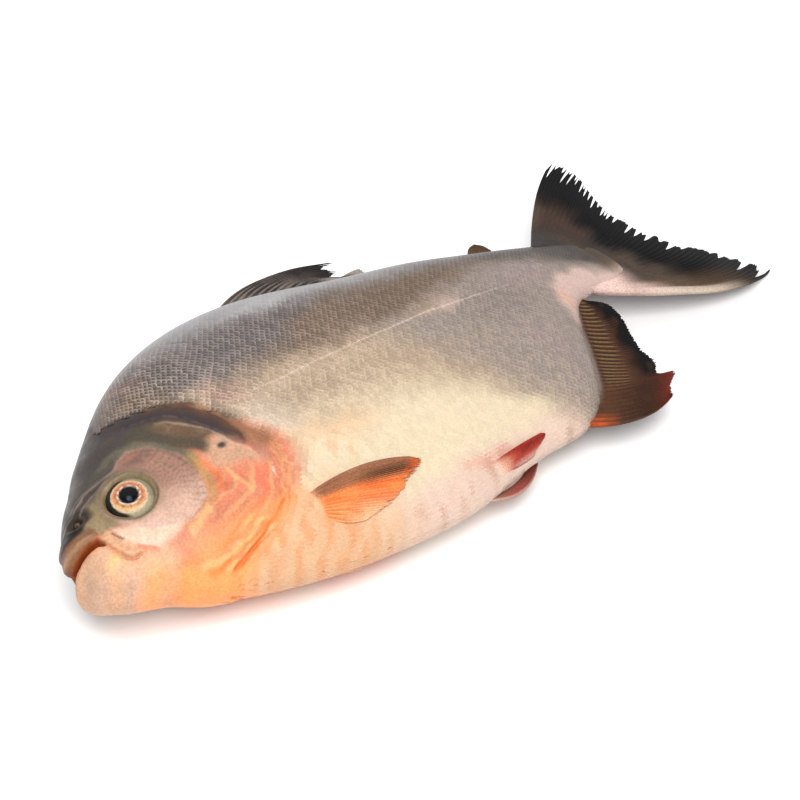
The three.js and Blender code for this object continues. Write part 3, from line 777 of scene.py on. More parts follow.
def paint_head(look, x, y):
    """Colour of the bare head."""
    x0, y0 = x, y
    x, y = (
        at + 0.6 * wander(x, y, 4, seed) + 0.9 * wander(x, y, 11, seed + 7)
        for at, seed in ((x, 31), (y, 32))
    )
    mottle = wander(x, y, 2.6, 33)
    broad = wander(x, y, 9, 34)
    coat = Coat(look, x, y, "salmon")
    coat("bracken", 1, (y, 4, 14), (front_of_scales(x0, y0), -2, 0))
    coat("bisque", 0.45, (broad, 0.0, 0.9), (y, -24, -6))
    coat("amber", 0.6, (-y - 0.15 * x, 10, 19), (x, 24, 38))
    under_jaw = -over(((12, -18), (28, -23), (42, -29), (48, -34), (60, -41)), x, y)
    coat("amber", 0.9, (under_jaw, -2, 2.5), (x, 16, 30))
    glow = 0.8 * patch(x, y, (75.8, -16), (4.4, 9), -8, 0.8) + 0.6 * patch(x, y, (34, -21.8), (5, 2), -10)
    coat("coral", glow)
    away, _, at = from_line(GILL_EDGE, x, y)
    streak = wander(at * 0.22, away * 1.3, 2.2, 36)
    rear = smooth(x, 56, 64) * smooth(-y, -8, 4)
    coat("coral", 0.42, (streak, 0.0, 1.0), rear, (-y, 30, 20))
    coat("straw", 0.4, (-streak, 0.0, 1.0), (x, 46, 60), (-y, 2, 12))
    coat("flame", 0.4, (streak, 0.5, 1.2), (-y, 14, 24), (x, 40, 54))
    for key, strength, soft, ring in HEAD_ZONES:
        coat(key, strength * zone(ring, x, y, soft))
    coat("cheek_pale", 0.6 * patch(x, y, (3, -7), (6, 9)) + 0.5 * patch(x, y, (13, -17), (7, 5), -30))
    coat("lilac", 0.3 * patch(x, y, (10, -19), (8, 5), -30) + 0.22 * patch(x, y, (2, -2), (5, 5)))
    coat("bisque", 0.8, ((3, -3), (8, 6.5), -20))
    coat("amber", 0.7, ((17, -21.5), (12, 4), -8))
    coat("jaw_yellow", 0.85, ((9, -7), (5.5, 4.5), -10))
    coat("peach", 0.45, ((20, -19), (12, 5), -12))
    # cheek plate: darker and rosier towards its top, with fine lines at its rear
    plate = zone(CHEEK_PLATE, x, y, 1.0)
    coat("cheek", plate, (y + 0.15 * (x - 40), -9, 10))
    flush = 0.8 * patch(x, y, (45, 22), (11, 6.5), -10)
    coat("blush", plate, flush + 0.2 * smooth(mottle, 0.2, 0.9) * smooth(y, 6, 14))
    radial = np.arctan2(y0 - EYE["y"], x0 - EYE["x"])
    lines = smooth(np.sin(radial * 52 + 2 * wander(x0, y0, 7, 35)), 0.6, 1.0) * smooth(x, 44, 50)
    coat("bracken", 0.4, plate, lines)
    coat("bracken", 0.3, plate, (wander(x0, y0, 1.6, 39), 0.5, 1.3), (y, 0, 16))
    coat("forehead", 0.5, ((27, 22.5), (13, 4.5), 8))
    coat("salmon", 0.3, ((43, 25), (9, 3.4), -6), (mottle, -0.4, 0.6))
    # forehead and snout
    crown = over(FOREHEAD_EDGE, x, y)
    coat("forehead", 1, (crown, -1.4, 1.8))
    coat("moss", 0.3, ((33, 28), (16, 4.5), 4), (crown, -2, 1))
    coat("bracken", 0.3, (wander(x, y, 3.2, 40), 0.0, 1.0), (crown, 0, 3))
    coat("rust", 0.35, ((60, 44), (12, 5), -30), (mottle, -0.5, 0.6))
    coat("forehead", 0.8, (x, 2.4, 0.5), (y, 4.8, 6.2))
    over_lip = over(((0, 8.5), (8, 10.6), (16, 12)), x, y)
    coat("snout", 0.95, (np.hypot((x - 9.5) / 1.15, y - 16.6), 8.4, 5.2), (over_lip, -0.6, 1.2))
    coat("honey", 0.55, zone(HONEY_PATCH, x, y, 1.2), (mottle, -0.6, 0.4))
    coat("honey", 0.7, ((73, 15.5), (2, 4), 20, 0.8))
    # dark band of the nape, painted shadow in the groove between the head and the scales, with its rust
    # coloured rear
    coat("rust", 0.3, stroke(NAPE_RUST, x, y, 4.4, 1.0, 0.1), (y, 0, 14))
    coat("charcoal", 0.95, stroke(NAPE_BAND, x, y, 4.6, 1.0, 0.1), (y, -5, 9))
    coat("charcoal", 0.5, zone(BEHIND_BAND, x, y, 2.6))
    coat("mauve", 0.2, stroke(NAPE_BAND, x + 0.6, y + 0.4, 0.9), (mottle, -0.6, 0.4))
    coat("mauve", 0.6, ((85, -7), (4.6, 7)))
    for key, strength, width, run in HEAD_LINES:
        coat(key, strength * stroke(run, x, y, width))
    # painted highlights of wet glints behind the gill
    coat("glint", 0.45, stroke(((84.5, -10.5), (83.8, -15), (81.8, -19.5)), x0, y0, 0.8), (mottle, -0.3, 0.4))
    coat("coral", 0.7, patch(x0, y0, (76.7, -7.6), (1.6, 1.0)))
    coat("rust", 0.22 * patch(x, y, (62, -9), (5, 9), 8) + 0.3 * patch(x, y, (2, 9.5), (5, 1.8)))
    coat("spot", patch(x0, y0, (74.6, 4.4), (3.0, 2.2), 0, 0.7))
    # around the eye, with painted shade in the gap round the eyeball and in the crease of the socket's rim
    d = np.hypot(x0 - EYE["x"], y0 - EYE["y"])
    coat("moss", 0.6, (d, 15, 11.5), (y, 8, 18))
    coat("reed", 0.5, (d, 13.6, 11.4))
    # a dark ring on the socket's rim; the extra dark on its lower side is painted shade of the crease
    coat("olive", 0.85, near(d, 11.2, 0.7), 0.5 + 0.5 * smooth(-y, -12, -2))
    coat("reed", 0.7, (d, 11.0, 10.4))
    # painted shade in the gap between the socket's rim and the eyeball
    coat("snout", 0.85, (d, 10.0, 9.0))
    # nostril
    n = np.hypot((x0 - NOSTRIL[0]) / 0.9, y0 - NOSTRIL[1])
    coat("umber", 0.35, near(n, 3.3, 0.7))
    coat("fin_black", 0.75, near(n, 2.0, 0.8))
    coat("umber", 0.6, (n, 1.4, 0.6))
    # lips
    inner = inside_mouth(x0, y0)
    coat("jaw", 0.4, near(inner, -2.6, 1.0), (y, 2.5, 4.5), (12 - x, 0, 3))
    coat("mouth", 0.5, (inner, -1.3, -0.1), (14 - x, 0, 2), (y - 0.35 * x, -2.0, 0.5))
    coat("mouth", 1, (inner, -0.15, 0.25))
    return coat.tint


def front_of_scales(x, y):
    """Distance behind the front border of the scales, negative on the bare head."""
    away, hand, _ = from_line(curved(SCALE_FRONT, 60), x, y)
    return -away * hand


def paint_skin(look, x, y, border):
    """Colour of the whole skin, with the border behind the head as a share from 0 on the head to 1."""
    border = border[..., None]
    return paint_head(look, x, y) * (1 - border) + paint_flank(look, x, y) * border


# ---- meshes and materials


def linked(name, mesh):
    mesh.shade_smooth()
    piece = bpy.data.objects.new(name, mesh)
    bpy.context.scene.collection.objects.link(piece)
    return piece


def mesh_object(name, places, faces):
    mesh = bpy.data.meshes.new(name)
    mesh.from_pydata(np.asarray(places).tolist(), [], faces)
    mesh.validate()
    return linked(name, mesh)


def give_colour(mesh, name, tint):
    rgba = np.ones((len(mesh.vertices), 4))
    rgba[:, :3] = np.asarray(tint).reshape(-1, 3)
    give(mesh, name, rgba, "FLOAT_COLOR", "color")


def give(mesh, name, values, kind="FLOAT", key="value"):
    """Stores one number, vector or colour per vertex."""
    data = mesh.attributes.new(name, kind, "POINT").data
    data.foreach_set(key, np.asarray(values, np.float32).ravel())


def give_vector(mesh, name, values):
    give(mesh, name, values, "FLOAT_VECTOR", "vector")


def take_vector(data, key="vector"):
    values = np.zeros(len(data) * 3, np.float32)
    data.foreach_get(key, values)
    return values.reshape(-1, 3)


def give_uv(mesh, uv):
    """A UV map for baking from one pair of numbers per vertex."""
    corners = np.zeros(len(mesh.loops), np.int32)
    mesh.loops.foreach_get("vertex_index", corners)
    mesh.uv_layers.new(name="OFBake").data.foreach_set("uv", np.asarray(uv, np.float32)[corners].ravel())


def grid_faces(rows, columns, closed):
    """Quads between the rows of a grid of vertices, closed round its columns or not."""
    faces = []
    for start in range(0, (rows - 1) * columns, columns):
        for column in range(columns if closed else columns - 1):
            here, after = start + column, start + (column + 1) % columns
            faces.append((here, after, after + columns, here + columns))
    return faces


def new_material(name, roughness, specular=0.5, coat=0.0, coat_roughness=0.1, flesh=0.0):
    """A material, its wiring and its shader."""
    material = bpy.data.materials.new(name)
    material.use_nodes = True
    w, shader = Wiring(material.node_tree), material.node_tree.nodes["Principled BSDF"]
    w.feed(shader, Roughness=roughness, Specular_IOR_Level=specular)
    w.feed(shader, Coat_Weight=coat, Coat_Roughness=coat_roughness)
    w.feed(shader, Subsurface_Weight=flesh, Subsurface_Radius=(1.0, 0.45, 0.25), Subsurface_Scale=1.6 * MM)
    return material, w, shader


class Wiring:
    """Adds nodes to a tree and joins them."""

    def __init__(self, tree):
        self.tree = tree

    def add(self, kind, settings=None, **links):
        node = self.tree.nodes.new(kind)
        for key, value in (settings or {}).items():
            setattr(node, key, value)
        return self.feed(node, **links)

    def feed(self, node, **links):
        """Sets or links inputs of a node by name, or by number after a line."""
        for key, value in links.items():
            socket = node.inputs[int(key[1:]) if key[1:].isdigit() else key.replace("_", " ")]
            if isinstance(value, bpy.types.NodeSocket):
                self.tree.links.new(value, socket)
            else:
                socket.default_value = value
        return node

    def attribute(self, name, output="Color"):
        return self.add("ShaderNodeAttribute", {"attribute_name": name}).outputs[output]

    def noise(self, size, detail=3.0, where=None):
        """Noise over the object's own coordinates, with spots of the given size in millimetres."""
        where = where or self.add("ShaderNodeTexCoord").outputs["Object"]
        node = self.add("ShaderNodeTexNoise", None, Vector=where, Scale=1 / (size * MM), Detail=detail)
        return node.outputs["Fac"]

    def spread(self, value, low, high, new_low, new_high):
        settings = {"interpolation_type": "SMOOTHSTEP"}
        node = self.add("ShaderNodeMapRange", settings, _0=value, _1=low, _2=high, _3=new_low, _4=new_high)
        return node.outputs[0]

    def mix(self, share, first, second, way="MIX"):
        settings = {"data_type": "RGBA", "blend_type": way}
        node = self.add("ShaderNodeMix", settings, _0=share, _6=first, _7=second)
        return node.outputs[2]

    def sum(self, first, second, way="ADD"):
        node = self.add("ShaderNodeMath", {"operation": way}, _0=first, _1=second)
        return node.outputs[0]

    def times(self, first, second):
        return self.sum(first, second, "MULTIPLY")

    def bump(self, height, strength, depth):
        node = self.add("ShaderNodeBump", None, Height=height, Strength=strength, Distance=depth * MM)
        return node.outputs["Normal"]

    def dim(self, colour, light):
        """The colour times a grey of this lightness."""
        grey = self.add("ShaderNodeCombineColor", None, _0=light, _1=light, _2=light).outputs[0]
        return self.mix(1.0, colour, grey, "MULTIPLY")


def skin_material():
    """Wet bare skin with fine mottling and pores."""
    material, w, shader = new_material("wet_skin", 0.36, 0.2, 0.04, 0.12, 0.1)
    fine, coarse = w.noise(1.1, 4), w.noise(5, 3)
    light = w.times(w.spread(fine, 0.3, 0.7, 0.86, 1.1), w.spread(coarse, 0.3, 0.7, 0.93, 1.06))
    w.feed(shader, Base_Color=w.dim(w.attribute("tint"), light))
    w.feed(shader, Roughness=w.spread(coarse, 0.3, 0.7, 0.34, 0.52))
    w.feed(shader, Normal=w.bump(w.sum(fine, w.noise(0.5, 2)), 0.35, 0.12))
    return material


# A scale's base is darkened towards this grey: partly its own darker base, partly painted shade under the
# free edge of the scale in front.
SHADED_BASE = (0.34, 0.32, 0.33, 1)


def scale_material():
    """Scales with a darker base that is partly painted shade, a pale free edge that is partly painted
    highlight, and a little of their own shade each.
    """
    material, w, shader = new_material("scales", 0.32, 0.25, 0.03, 0.12, 0.03)
    edge, chance, pale, spine, line, deep = (
        w.attribute(name, "Fac") for name in ("edge", "chance", "pale", "spine", "line", "deep")
    )
    # the pale free edge: partly the scale's own colour, partly painted highlight
    rim = w.times(w.spread(edge, 0.5, 0.95, 0.0, 1.0), pale)
    rim = w.times(rim, w.spread(chance, 0.0, 1.0, 0.5, 1.0))
    colour = w.mix(rim, w.attribute("tint"), w.attribute("rim"))
    # the darker base: partly the scale's own colour, partly painted shade
    base = w.times(w.spread(edge, 0.05, 0.5, 1.0, 0.0), deep)
    shaded = w.mix(base, colour, w.mix(1.0, w.attribute("tint"), SHADED_BASE, "MULTIPLY"))
    along_line = w.times(w.spread(spine, 0.5, 0.9, 0.0, 0.75), line)
    shaded = w.mix(along_line, shaded, w.attribute("rim"))
    vary = w.times(w.spread(chance, 0.0, 1.0, -0.17, 0.17), w.sum(pale, 0.2))
    grain = w.times(w.sum(pale, 0.16), w.spread(w.noise(0.7, 4), 0.3, 0.7, -0.34, 0.34))
    light = w.times(w.sum(vary, 1.0), w.sum(1.0, grain))
    w.feed(shader, Base_Color=w.dim(shaded, light), Roughness=w.spread(chance, 0.0, 1.0, 0.3, 0.42))
    w.feed(shader, Normal=w.bump(w.noise(0.35, 2), 0.25, 0.05))
    return material


def fin_material():
    """Thin fin skin with fine wrinkles."""
    material, w, shader = new_material("fin_web", 0.5, 0.1, 0.0, 0.2, 0.05)
    w.feed(shader, Base_Color=w.dim(w.attribute("tint"), w.spread(w.noise(0.8, 3), 0.3, 0.7, 0.8, 1.15)))
    w.feed(shader, Normal=w.bump(w.noise(0.6, 3), 0.3, 0.1))
    return material


def eye_material():
    """Glossy wet eye."""
    material, w, shader = new_material("wet_eye", 0.16, 0.06, 0.05, 0.03)
    w.feed(shader, Base_Color=w.dim(w.attribute("tint"), w.spread(w.noise(0.7, 3), 0.3, 0.7, 0.85, 1.12)))
    return material


def fish_look(context):
    """Gives the colour of a key from the settings of the scene."""
    colours = context.scene.fish_colours
    return lambda key: np.array(getattr(colours, key))


def material_named(name, make):
    return bpy.data.materials.get(name) or make()


def hand_over(piece, slot, *nodes):
    """The piece rides on the body and stands for the named nodes, which it hides. The slot is not used."""
    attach(piece, BODY)
    if nodes:
        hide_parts(*nodes)
    return piece


# ---- skin

HEAD_END = 97.0
SNOUT_END = 6.0
SNOUT_RINGS = 24
HEAD_STEP = 0.56
HEAD_COLUMNS = 480
TRUNK_START = 84.0
TRUNK_STEP = 2.0
TRUNK_COLUMNS = 160
UNDER_SCALES = 0.12
# The body's flesh thins out over this length onto the tail fin.
TAIL_TAPER = 8.0
# What lies on a raised part of the head is drawn this much further forward and down for each millimetre.
RAISED_VIEW = 0.84
# The soft right half of the snout is pressed in by its weight, as a share of its half width.
SNOUT_PRESSED = 0.86
CHIN_PRESSED = 0.3
# How far the right half of the upper lip bends up, in millimetres.
LIP_RAISED = 2.4
# How far the left half of the snout and the right half of the chin swell.
SNOUT_FULL = 2.2
CHIN_FULL = 1.4


def thinning(x):
    """Share of the body's thickness that is left where its flesh runs out on the tail fin."""
    beyond = np.clip((x - BODY_LENGTH) / TAIL_TAPER, 0, 1)
    return np.sqrt(1 - 0.97 * beyond**2)


def fullness(x, y, side):
    """Swelling of the snout's left half and of the chin's right half."""
    snout = smooth(y, 4.5, 9) * smooth(np.hypot(x, 0.5 * (y - 10)), 10, 2) * smooth(side, -2, 4)
    chin = near(np.hypot(side + 9, y), 0, 7) * smooth(y, 4.8, 3) * smooth(x, 10, 3)
    return SNOUT_FULL * snout + CHIN_FULL * chin


def skin_piece(name, look, xs, columns, carved, sunk):
    """A closed stretch of skin from rings round the fish, capped at both ends."""
    turn = np.linspace(0, 2 * math.pi, columns, endpoint=False)
    x, angle = np.meshgrid(xs, turn, indexing="ij")
    y, side = section(x, angle)
    plain = np.abs(side)
    side = side + np.sign(side) * gill_cover(x, y) * plain / np.maximum(half_width(x), 1e-6)
    pressed = smooth(y, 4, 7) * smooth(x, 14, 2) * (side < 0)
    side = side * thinning(x)
    chin = smooth(-y, 2, 12) * smooth(x, 1, 6) * smooth(x, 40, 18) * (side < 0)
    places = lay_plain(x, y, side * (1 - SNOUT_PRESSED * pressed - CHIN_PRESSED * chin))
    places[..., 2] += LIP_RAISED * smooth(y, 4, 5.5) * smooth(x, 9, 0) * smooth(side, 6, -2)
    along = np.gradient(places, axis=0)
    round_it = np.roll(places, -1, axis=1) - np.roll(places, 1, axis=1)
    out = np.cross(along, round_it)
    out /= np.maximum(np.linalg.norm(out, axis=2, keepdims=True), 1e-9)
    push = np.full(x.shape, -sunk)
    seen = RAISED_VIEW * gill_cover(x, y) * smooth(x, 12, 24)
    if carved:
        fade = smooth(x, HEAD_END, HEAD_END - 4)
        under = smooth(front_of_scales(x, y), -0.6, 2.2)
        push = push + carving(x + seen, y + seen) * fade * (1 - under) - 0.2 * under - 0.5 * (1 - fade)
        push = push + fullness(x, y, side)
    places = places + out * push[..., None]
    tip = places[0].mean(0) if carved else lay_plain(0.6 * xs[0], widest_level(xs[0]), 0.0)
    tail = lay_plain(xs[-1], widest_level(xs[-1]), 0.0)
    spots = to_frame(np.vstack([places.reshape(-1, 3), tip[None], tail[None]]))
    faces = grid_faces(len(xs), columns, True)
    first, last = len(spots) - 2, len(spots) - 1
    base = (len(xs) - 1) * columns
    for column in range(columns):
        after = (column + 1) % columns
        faces += [(first, after, column), (last, base + column, base + after)]
    piece = mesh_object(name, spots, faces)
    scaly = smooth(front_of_scales(x + seen, y + seen), -0.8, 5.0)
    tint = paint_skin(look, x + seen, y + seen, scaly).reshape(-1, 3)
    give_colour(piece.data, "tint", np.vstack([tint, tint[0], tint[-1]]))
    share = (xs - xs[0]) / (xs[-1] - xs[0])
    uv = np.stack(np.broadcast_arrays(share[:, None], np.abs(angle / math.pi - 1.0)), -1).reshape(-1, 2)
    give_uv(piece.data, np.vstack([uv, uv[0], uv[-1]]))
    piece.data.materials.append(material_named("wet_skin", skin_material))
    return piece


class FISH_OT_head(Operator):
    """Builds the bare head with its lips, lids, nostrils, gill covers and folds"""

    bl_idname = "fish.head"
    bl_label = "Head"

    def execute(self, context):
        snout = SNOUT_END * (np.arange(1, SNOUT_RINGS + 1) / SNOUT_RINGS) ** 2
        xs = np.concatenate([snout, np.arange(SNOUT_END + HEAD_STEP, HEAD_END, HEAD_STEP)])
        head = skin_piece("head", fish_look(context), xs, HEAD_COLUMNS, True, 0.0)
        hand_over(head, "skin", "fish")
        return {"FINISHED"}


class FISH_OT_trunk(Operator):
    """Builds the skin of the body that the scales lie on"""

    bl_idname = "fish.trunk"
    bl_label = "Body skin"

    def execute(self, context):
        taper = BODY_LENGTH + TAIL_TAPER * np.array([0, 0.3, 0.55, 0.75, 0.9, 1.0])
        xs = np.append(np.arange(TRUNK_START, BODY_LENGTH - 1, TRUNK_STEP), taper)
        trunk = skin_piece("body_skin", fish_look(context), xs, TRUNK_COLUMNS, False, UNDER_SCALES)
        hand_over(trunk, "skin", "fish")
        return {"FINISHED"}


# ---- scales


def scale_pattern():
    """One scale: a shingle that rises from its sunk front to a rounded free edge over a short wall."""
    turns = [math.radians(a) for a in (-112, -76, -38, 0, 38, 76, 112)]
    rim = [(0.5 * math.cos(a), 0.5 * math.sin(a), 0.45 + 0.5 * math.cos(a)) for a in turns]
    foot = [(0.95 * u, 0.95 * v, z - 3.0) for u, v, z in rim]
    places = [(-0.5, 0.0, -0.3), (0.1, 0.0, 0.55)] + rim + rim + foot
    spokes, count = range(len(rim) - 1), len(rim)
    faces = [(1, 2 + i, 3 + i) for i in spokes] + [(1, 0, 2), (1, 1 + count, 0)]
    faces += [(2 + count + i, 2 + 2 * count + i, 3 + 2 * count + i, 3 + count + i) for i in spokes]
    pattern = mesh_object("scale_pattern", places, faces)
    free = [0.7, 0.9, 1.0, 1.0, 1.0, 0.9, 0.7]
    # edge runs from 0 at the sunk front to 1 on the free edge; the wall's foot gets a low value, so the
    # base's painted shade darkens it too.
    give(pattern.data, "edge", [0.0, 0.4] + free + [0.6] * count + [0.2] * count)
    give(pattern.data, "spine", [i in (0, 1, 5) for i in range(len(places))])
    give_vector(pattern.data, "spot", [(u, v, 0) for u, v, _ in places])
    return pattern


COAT_INPUTS = (
    ("Geometry", "Geometry"), ("Pattern", "Object"), ("Length", "Float"), ("Width", "Float"),
    ("Rise", "Float"), ("Unevenness", "Float"), ("Seed", "Int"),
)


def scale_tree(material):
    """Lays a scale on every point, turned by the point's own directions."""
    tree = bpy.data.node_groups.new("scale_coat", "GeometryNodeTree")
    for name, kind in COAT_INPUTS:
        tree.interface.new_socket(name, in_out="INPUT", socket_type="NodeSocket" + kind)
    tree.interface.new_socket("Geometry", in_out="OUTPUT", socket_type="NodeSocketGeometry")
    w = Wiring(tree)
    given = w.add("NodeGroupInput").outputs

    def stored(name, kind="FLOAT"):
        return w.add("GeometryNodeInputNamedAttribute", {"data_type": kind}, Name=name).outputs[0]

    aimed = w.add(
        "FunctionNodeAxesToRotation", {"primary_axis": "Z", "secondary_axis": "X"},
        _0=stored("outward", "FLOAT_VECTOR"), _1=stored("tailward", "FLOAT_VECTOR"),
    )
    tilt = w.times(given["Unevenness"], TIP_SHARE)
    high = w.add("ShaderNodeCombineXYZ", None, X=tilt, Y=tilt, Z=given["Unevenness"]).outputs[0]
    low = w.add("ShaderNodeVectorMath", {"operation": "SCALE"}, Vector=high, Scale=-1.0).outputs[0]
    settings = {"data_type": "FLOAT_VECTOR"}
    wobble = w.add("FunctionNodeRandomValue", settings, Seed=given["Seed"], _0=low, _1=high)
    settings = {"rotation_space": "LOCAL"}
    turned = w.add("FunctionNodeRotateRotation", settings, _0=aimed.outputs[0], _1=wobble.outputs[0])
    rise = w.times(given["Rise"], stored("lift"))
    lengths = w.add("ShaderNodeCombineXYZ", None, X=given["Length"], Y=given["Width"], Z=rise).outputs[0]
    scale = w.add("ShaderNodeVectorMath", {"operation": "SCALE"}, Vector=lengths, Scale=stored("size"))
    source = w.add("GeometryNodeObjectInfo", None, Object=given["Pattern"]).outputs["Geometry"]
    laid = w.add(
        "GeometryNodeInstanceOnPoints", None, Points=given["Geometry"], Instance=source,
        Rotation=turned.outputs[0], Scale=scale.outputs[0],
    )
    chance = w.add("FunctionNodeRandomValue", {"data_type": "FLOAT"}, Seed=given["Seed"]).outputs[1]
    settings = {"data_type": "FLOAT", "domain": "INSTANCE"}
    kept = w.add(
        "GeometryNodeStoreNamedAttribute", settings, Geometry=laid.outputs[0], Name="chance", Value=chance,
    )
    real = w.add("GeometryNodeRealizeInstances", None, Geometry=kept.outputs[0])
    dressed = w.add("GeometryNodeSetMaterial", None, Geometry=real.outputs[0], Material=material)
    w.add("NodeGroupOutput", None, Geometry=dressed.outputs[0])
    return tree


def grown(carrier, tree, values, name):
    """The carrier's modifier result as a plain mesh object, without the carrier."""
    modifier = carrier.modifiers.new("grow", "NODES")
    modifier.node_group = tree
    for item in tree.interface.items_tree:
        if item.in_out == "INPUT" and item.name in values:
            modifier[item.identifier] = values[item.name]
    bpy.context.view_layer.update()
    mesh = bpy.data.meshes.new_from_object(carrier.evaluated_get(bpy.context.evaluated_depsgraph_get()))
    bpy.data.objects.remove(carrier)
    mesh.name = name
    return linked(name, mesh)


FIRST_SCALES = 42.0
STEPS_ROUND = 721
# How far a scale may turn at random, and the share of that by which it may tip.
UNEVEN = math.radians(7)
TIP_SHARE = 0.03
# The scales on the floor are pressed flat at this height.
PRESSED_AT = 0.02 * MM
# A scale lies tilted to the light and shows this share of the skin's brightness.
SCALE_SHADE = 0.73
# How far a scale strays from its row.
STRAY = 0.1
SIZE_AT = (40, 80, 200, 260, 290, 304)
SIZE_OF_SCALE = (0.7, 1.0, 0.95, 0.8, 0.62, 0.45)
# Room for one flank's girth in the UV map.
GIRTH_ROOM = 190.0


def scale_places(pitch, row_pitch):
    """Rows of scales on one flank, from the lateral line up to the back and down to the belly."""
    xs = [FIRST_SCALES]
    while xs[-1] < BODY_LENGTH - 2:
        xs.append(xs[-1] + 0.5 * pitch * np.interp(xs[-1], SIZE_AT, SIZE_OF_SCALE))
    angle = np.linspace(-math.pi / 2, math.pi / 2, STEPS_ROUND)
    places = []
    for column, x in enumerate(xs):
        y, side = section(np.full(angle.shape, x), angle)
        run = np.concatenate([[0], np.cumsum(np.hypot(np.diff(y), np.diff(side)))])
        line = np.interp(x, *zip(*LATERAL_LINE))
        start = np.interp(line, y, run)
        step = row_pitch * np.interp(x, SIZE_AT, SIZE_OF_SCALE)
        rows = np.arange(-int(start / step), int((run[-1] - start) / step) + 1)
        rows = rows[(rows + column) % 2 == 0]
        at = start + rows * step
        places.append(np.stack([np.full(rows.shape, x), np.interp(at, run, y), at, rows == 0], 1))
    places = np.vstack(places)
    places[:, :2] += STRAY * np.random.default_rng(5).uniform(-1, 1, (len(places), 2)) * (1 - places[:, 3:])
    return places[front_of_scales(places[:, 0], places[:, 1]) > 0.4]


def skin_frames(x, y, hand):
    """Place, outward direction and tailward direction of the skin in millimetres."""
    step = 0.6

    def skin(px, turn):
        py, side = section(px, turn)
        side = side + gill_cover(px, py) * side / np.maximum(half_width(px), 1e-6)
        return lay_plain(px, py, hand * side * thinning(px))

    widest, reach, power = halves(x, y >= widest_level(x))
    turn = np.arcsin(np.clip(np.sign(y - widest) * (np.abs(y - widest) / reach) ** (power / 2), -1, 1))
    there = skin(x, turn)
    tailward = skin(x + step, turn) - skin(x - step, turn)
    round_it = skin(x, turn + 0.01) - skin(x, turn - 0.01)
    outward = np.cross(tailward, round_it) * hand
    outward /= np.linalg.norm(outward, axis=1, keepdims=True)
    tailward /= np.linalg.norm(tailward, axis=1, keepdims=True)
    return there, outward, tailward


def scale_contrast(x, y, light):
    """How strongly the scales' pale rims and darker bases, partly painted highlight and painted shade, and
    their relief show, by place and lightness.
    """
    dark = smooth(light, 0.5, 0.16)
    shoulder = patch(x, y, (86, 36), (40, 26), -30)
    nape = patch(x, y, (72, 58), (30, 24), 10)
    top = smooth(over(RIDGE_EDGE, x, y), -4, 10) * (1 - nape)
    belly = smooth(over(CREAM_EDGE, x, y), 14, -12)
    tail = smooth(x, 262, 300)
    rear = smooth(x, 140, 200)
    # pale: strength of the pale rims, partly painted highlight; deep: strength of the darker bases, partly
    # painted shade
    pale = (0.16 + 0.26 * dark + 0.2 * shoulder + 0.1 * nape) * (1 - 0.6 * top) * (1 - 0.35 * rear)
    deep = (0.22 + 0.45 * dark + 0.45 * shoulder + 0.3 * nape) * (1 - 0.6 * top)
    lift = (0.7 + 0.3 * dark + 0.8 * nape + 0.4 * shoulder) * (1 - 0.75 * belly) * (1 - 0.5 * tail)
    calm = (1 - 0.8 * belly) * (1 - 0.7 * tail)
    return np.clip(pale * calm, 0, 0.95), np.clip(deep * calm, 0, 0.85), lift


class FISH_OT_scales(Operator):
    """Covers both flanks with rows of overlapping scales"""

    bl_idname = "fish.scales"
    bl_label = "Scales"

    def execute(self, context):
        sizes, look = context.scene.fish_sizes, fish_look(context)
        pitch, row_pitch = sizes.scale_pitch / MM, sizes.row_pitch / MM
        values = {
            "Length": sizes.scale_length,
            "Width": sizes.scale_width,
            "Rise": sizes.scale_rise,
            "Unevenness": UNEVEN,
        }
        for name, hand in (("scales_left", 1), ("scales_right", -1)):
            x, y, at, on_line = scale_places(pitch, row_pitch).T
            there, outward, tailward = skin_frames(x, y, hand)
            carrier = mesh_object("scale_points", to_frame(there), [])
            behind = front_of_scales(x, y)
            edge_room = smooth(behind, 0, 6)
            border = smooth(behind, 0.2, 5.5)
            tint = paint_skin(look, x, y, border) * (1 - (1 - SCALE_SHADE) * border)[:, None]
            give_colour(carrier.data, "tint", tint)
            # the rim colour: partly the scale's own pale edge, partly painted highlight
            give_colour(carrier.data, "rim", 0.5 * tint + 0.5 * look("pearl"))
            pale, deep, lift = scale_contrast(x, y, tint.mean(1))
            numbers = {
                "size": np.interp(x, SIZE_AT, SIZE_OF_SCALE) * (0.84 + 0.16 * edge_room),
                "line": on_line * smooth(x, 98, 112) * smooth(x, 262, 218),
                "lift": lift * (0.4 + 0.6 * edge_room),
                "pale": pale,
                "deep": deep,
            }
            for key, number_of in numbers.items():
                give(carrier.data, key, number_of)
            cell = np.stack([x / BODY_LENGTH, at / GIRTH_ROOM, 0 * x], 1)
            for key, vector in (("outward", outward), ("tailward", tailward), ("cell", cell)):
                give_vector(carrier.data, key, vector)
            values.update(Pattern=scale_pattern(), Seed=sizes.seed + hand)
            coat = grown(carrier, scale_tree(material_named("scales", scale_material)), values, name)
            bpy.data.objects.remove(values["Pattern"])
            finish_scales(coat.data, pitch, row_pitch)
            hand_over(coat, "skin", "fish")
        return {"FINISHED"}


def finish_scales(mesh, pitch, row_pitch):
    """Presses the scales on the floor flat and gives each its own cell of the UV map."""
    places = take_vector(mesh.vertices, "co")
    places[:, 2] = np.maximum(places[:, 2], PRESSED_AT)
    mesh.vertices.foreach_set("co", places.ravel())
    cell, spot = (take_vector(mesh.attributes[name].data) for name in ("cell", "spot"))
    room = np.array([pitch / BODY_LENGTH, row_pitch / GIRTH_ROOM])
    give_uv(mesh, cell[:, :2] + spot[:, :2] * room * 0.5)
    for name in ("cell", "spot", "outward", "tailward", "size", "lift"):
        if name in mesh.attributes:
            mesh.attributes.remove(mesh.attributes[name])
    mesh.update()


# ---- fins


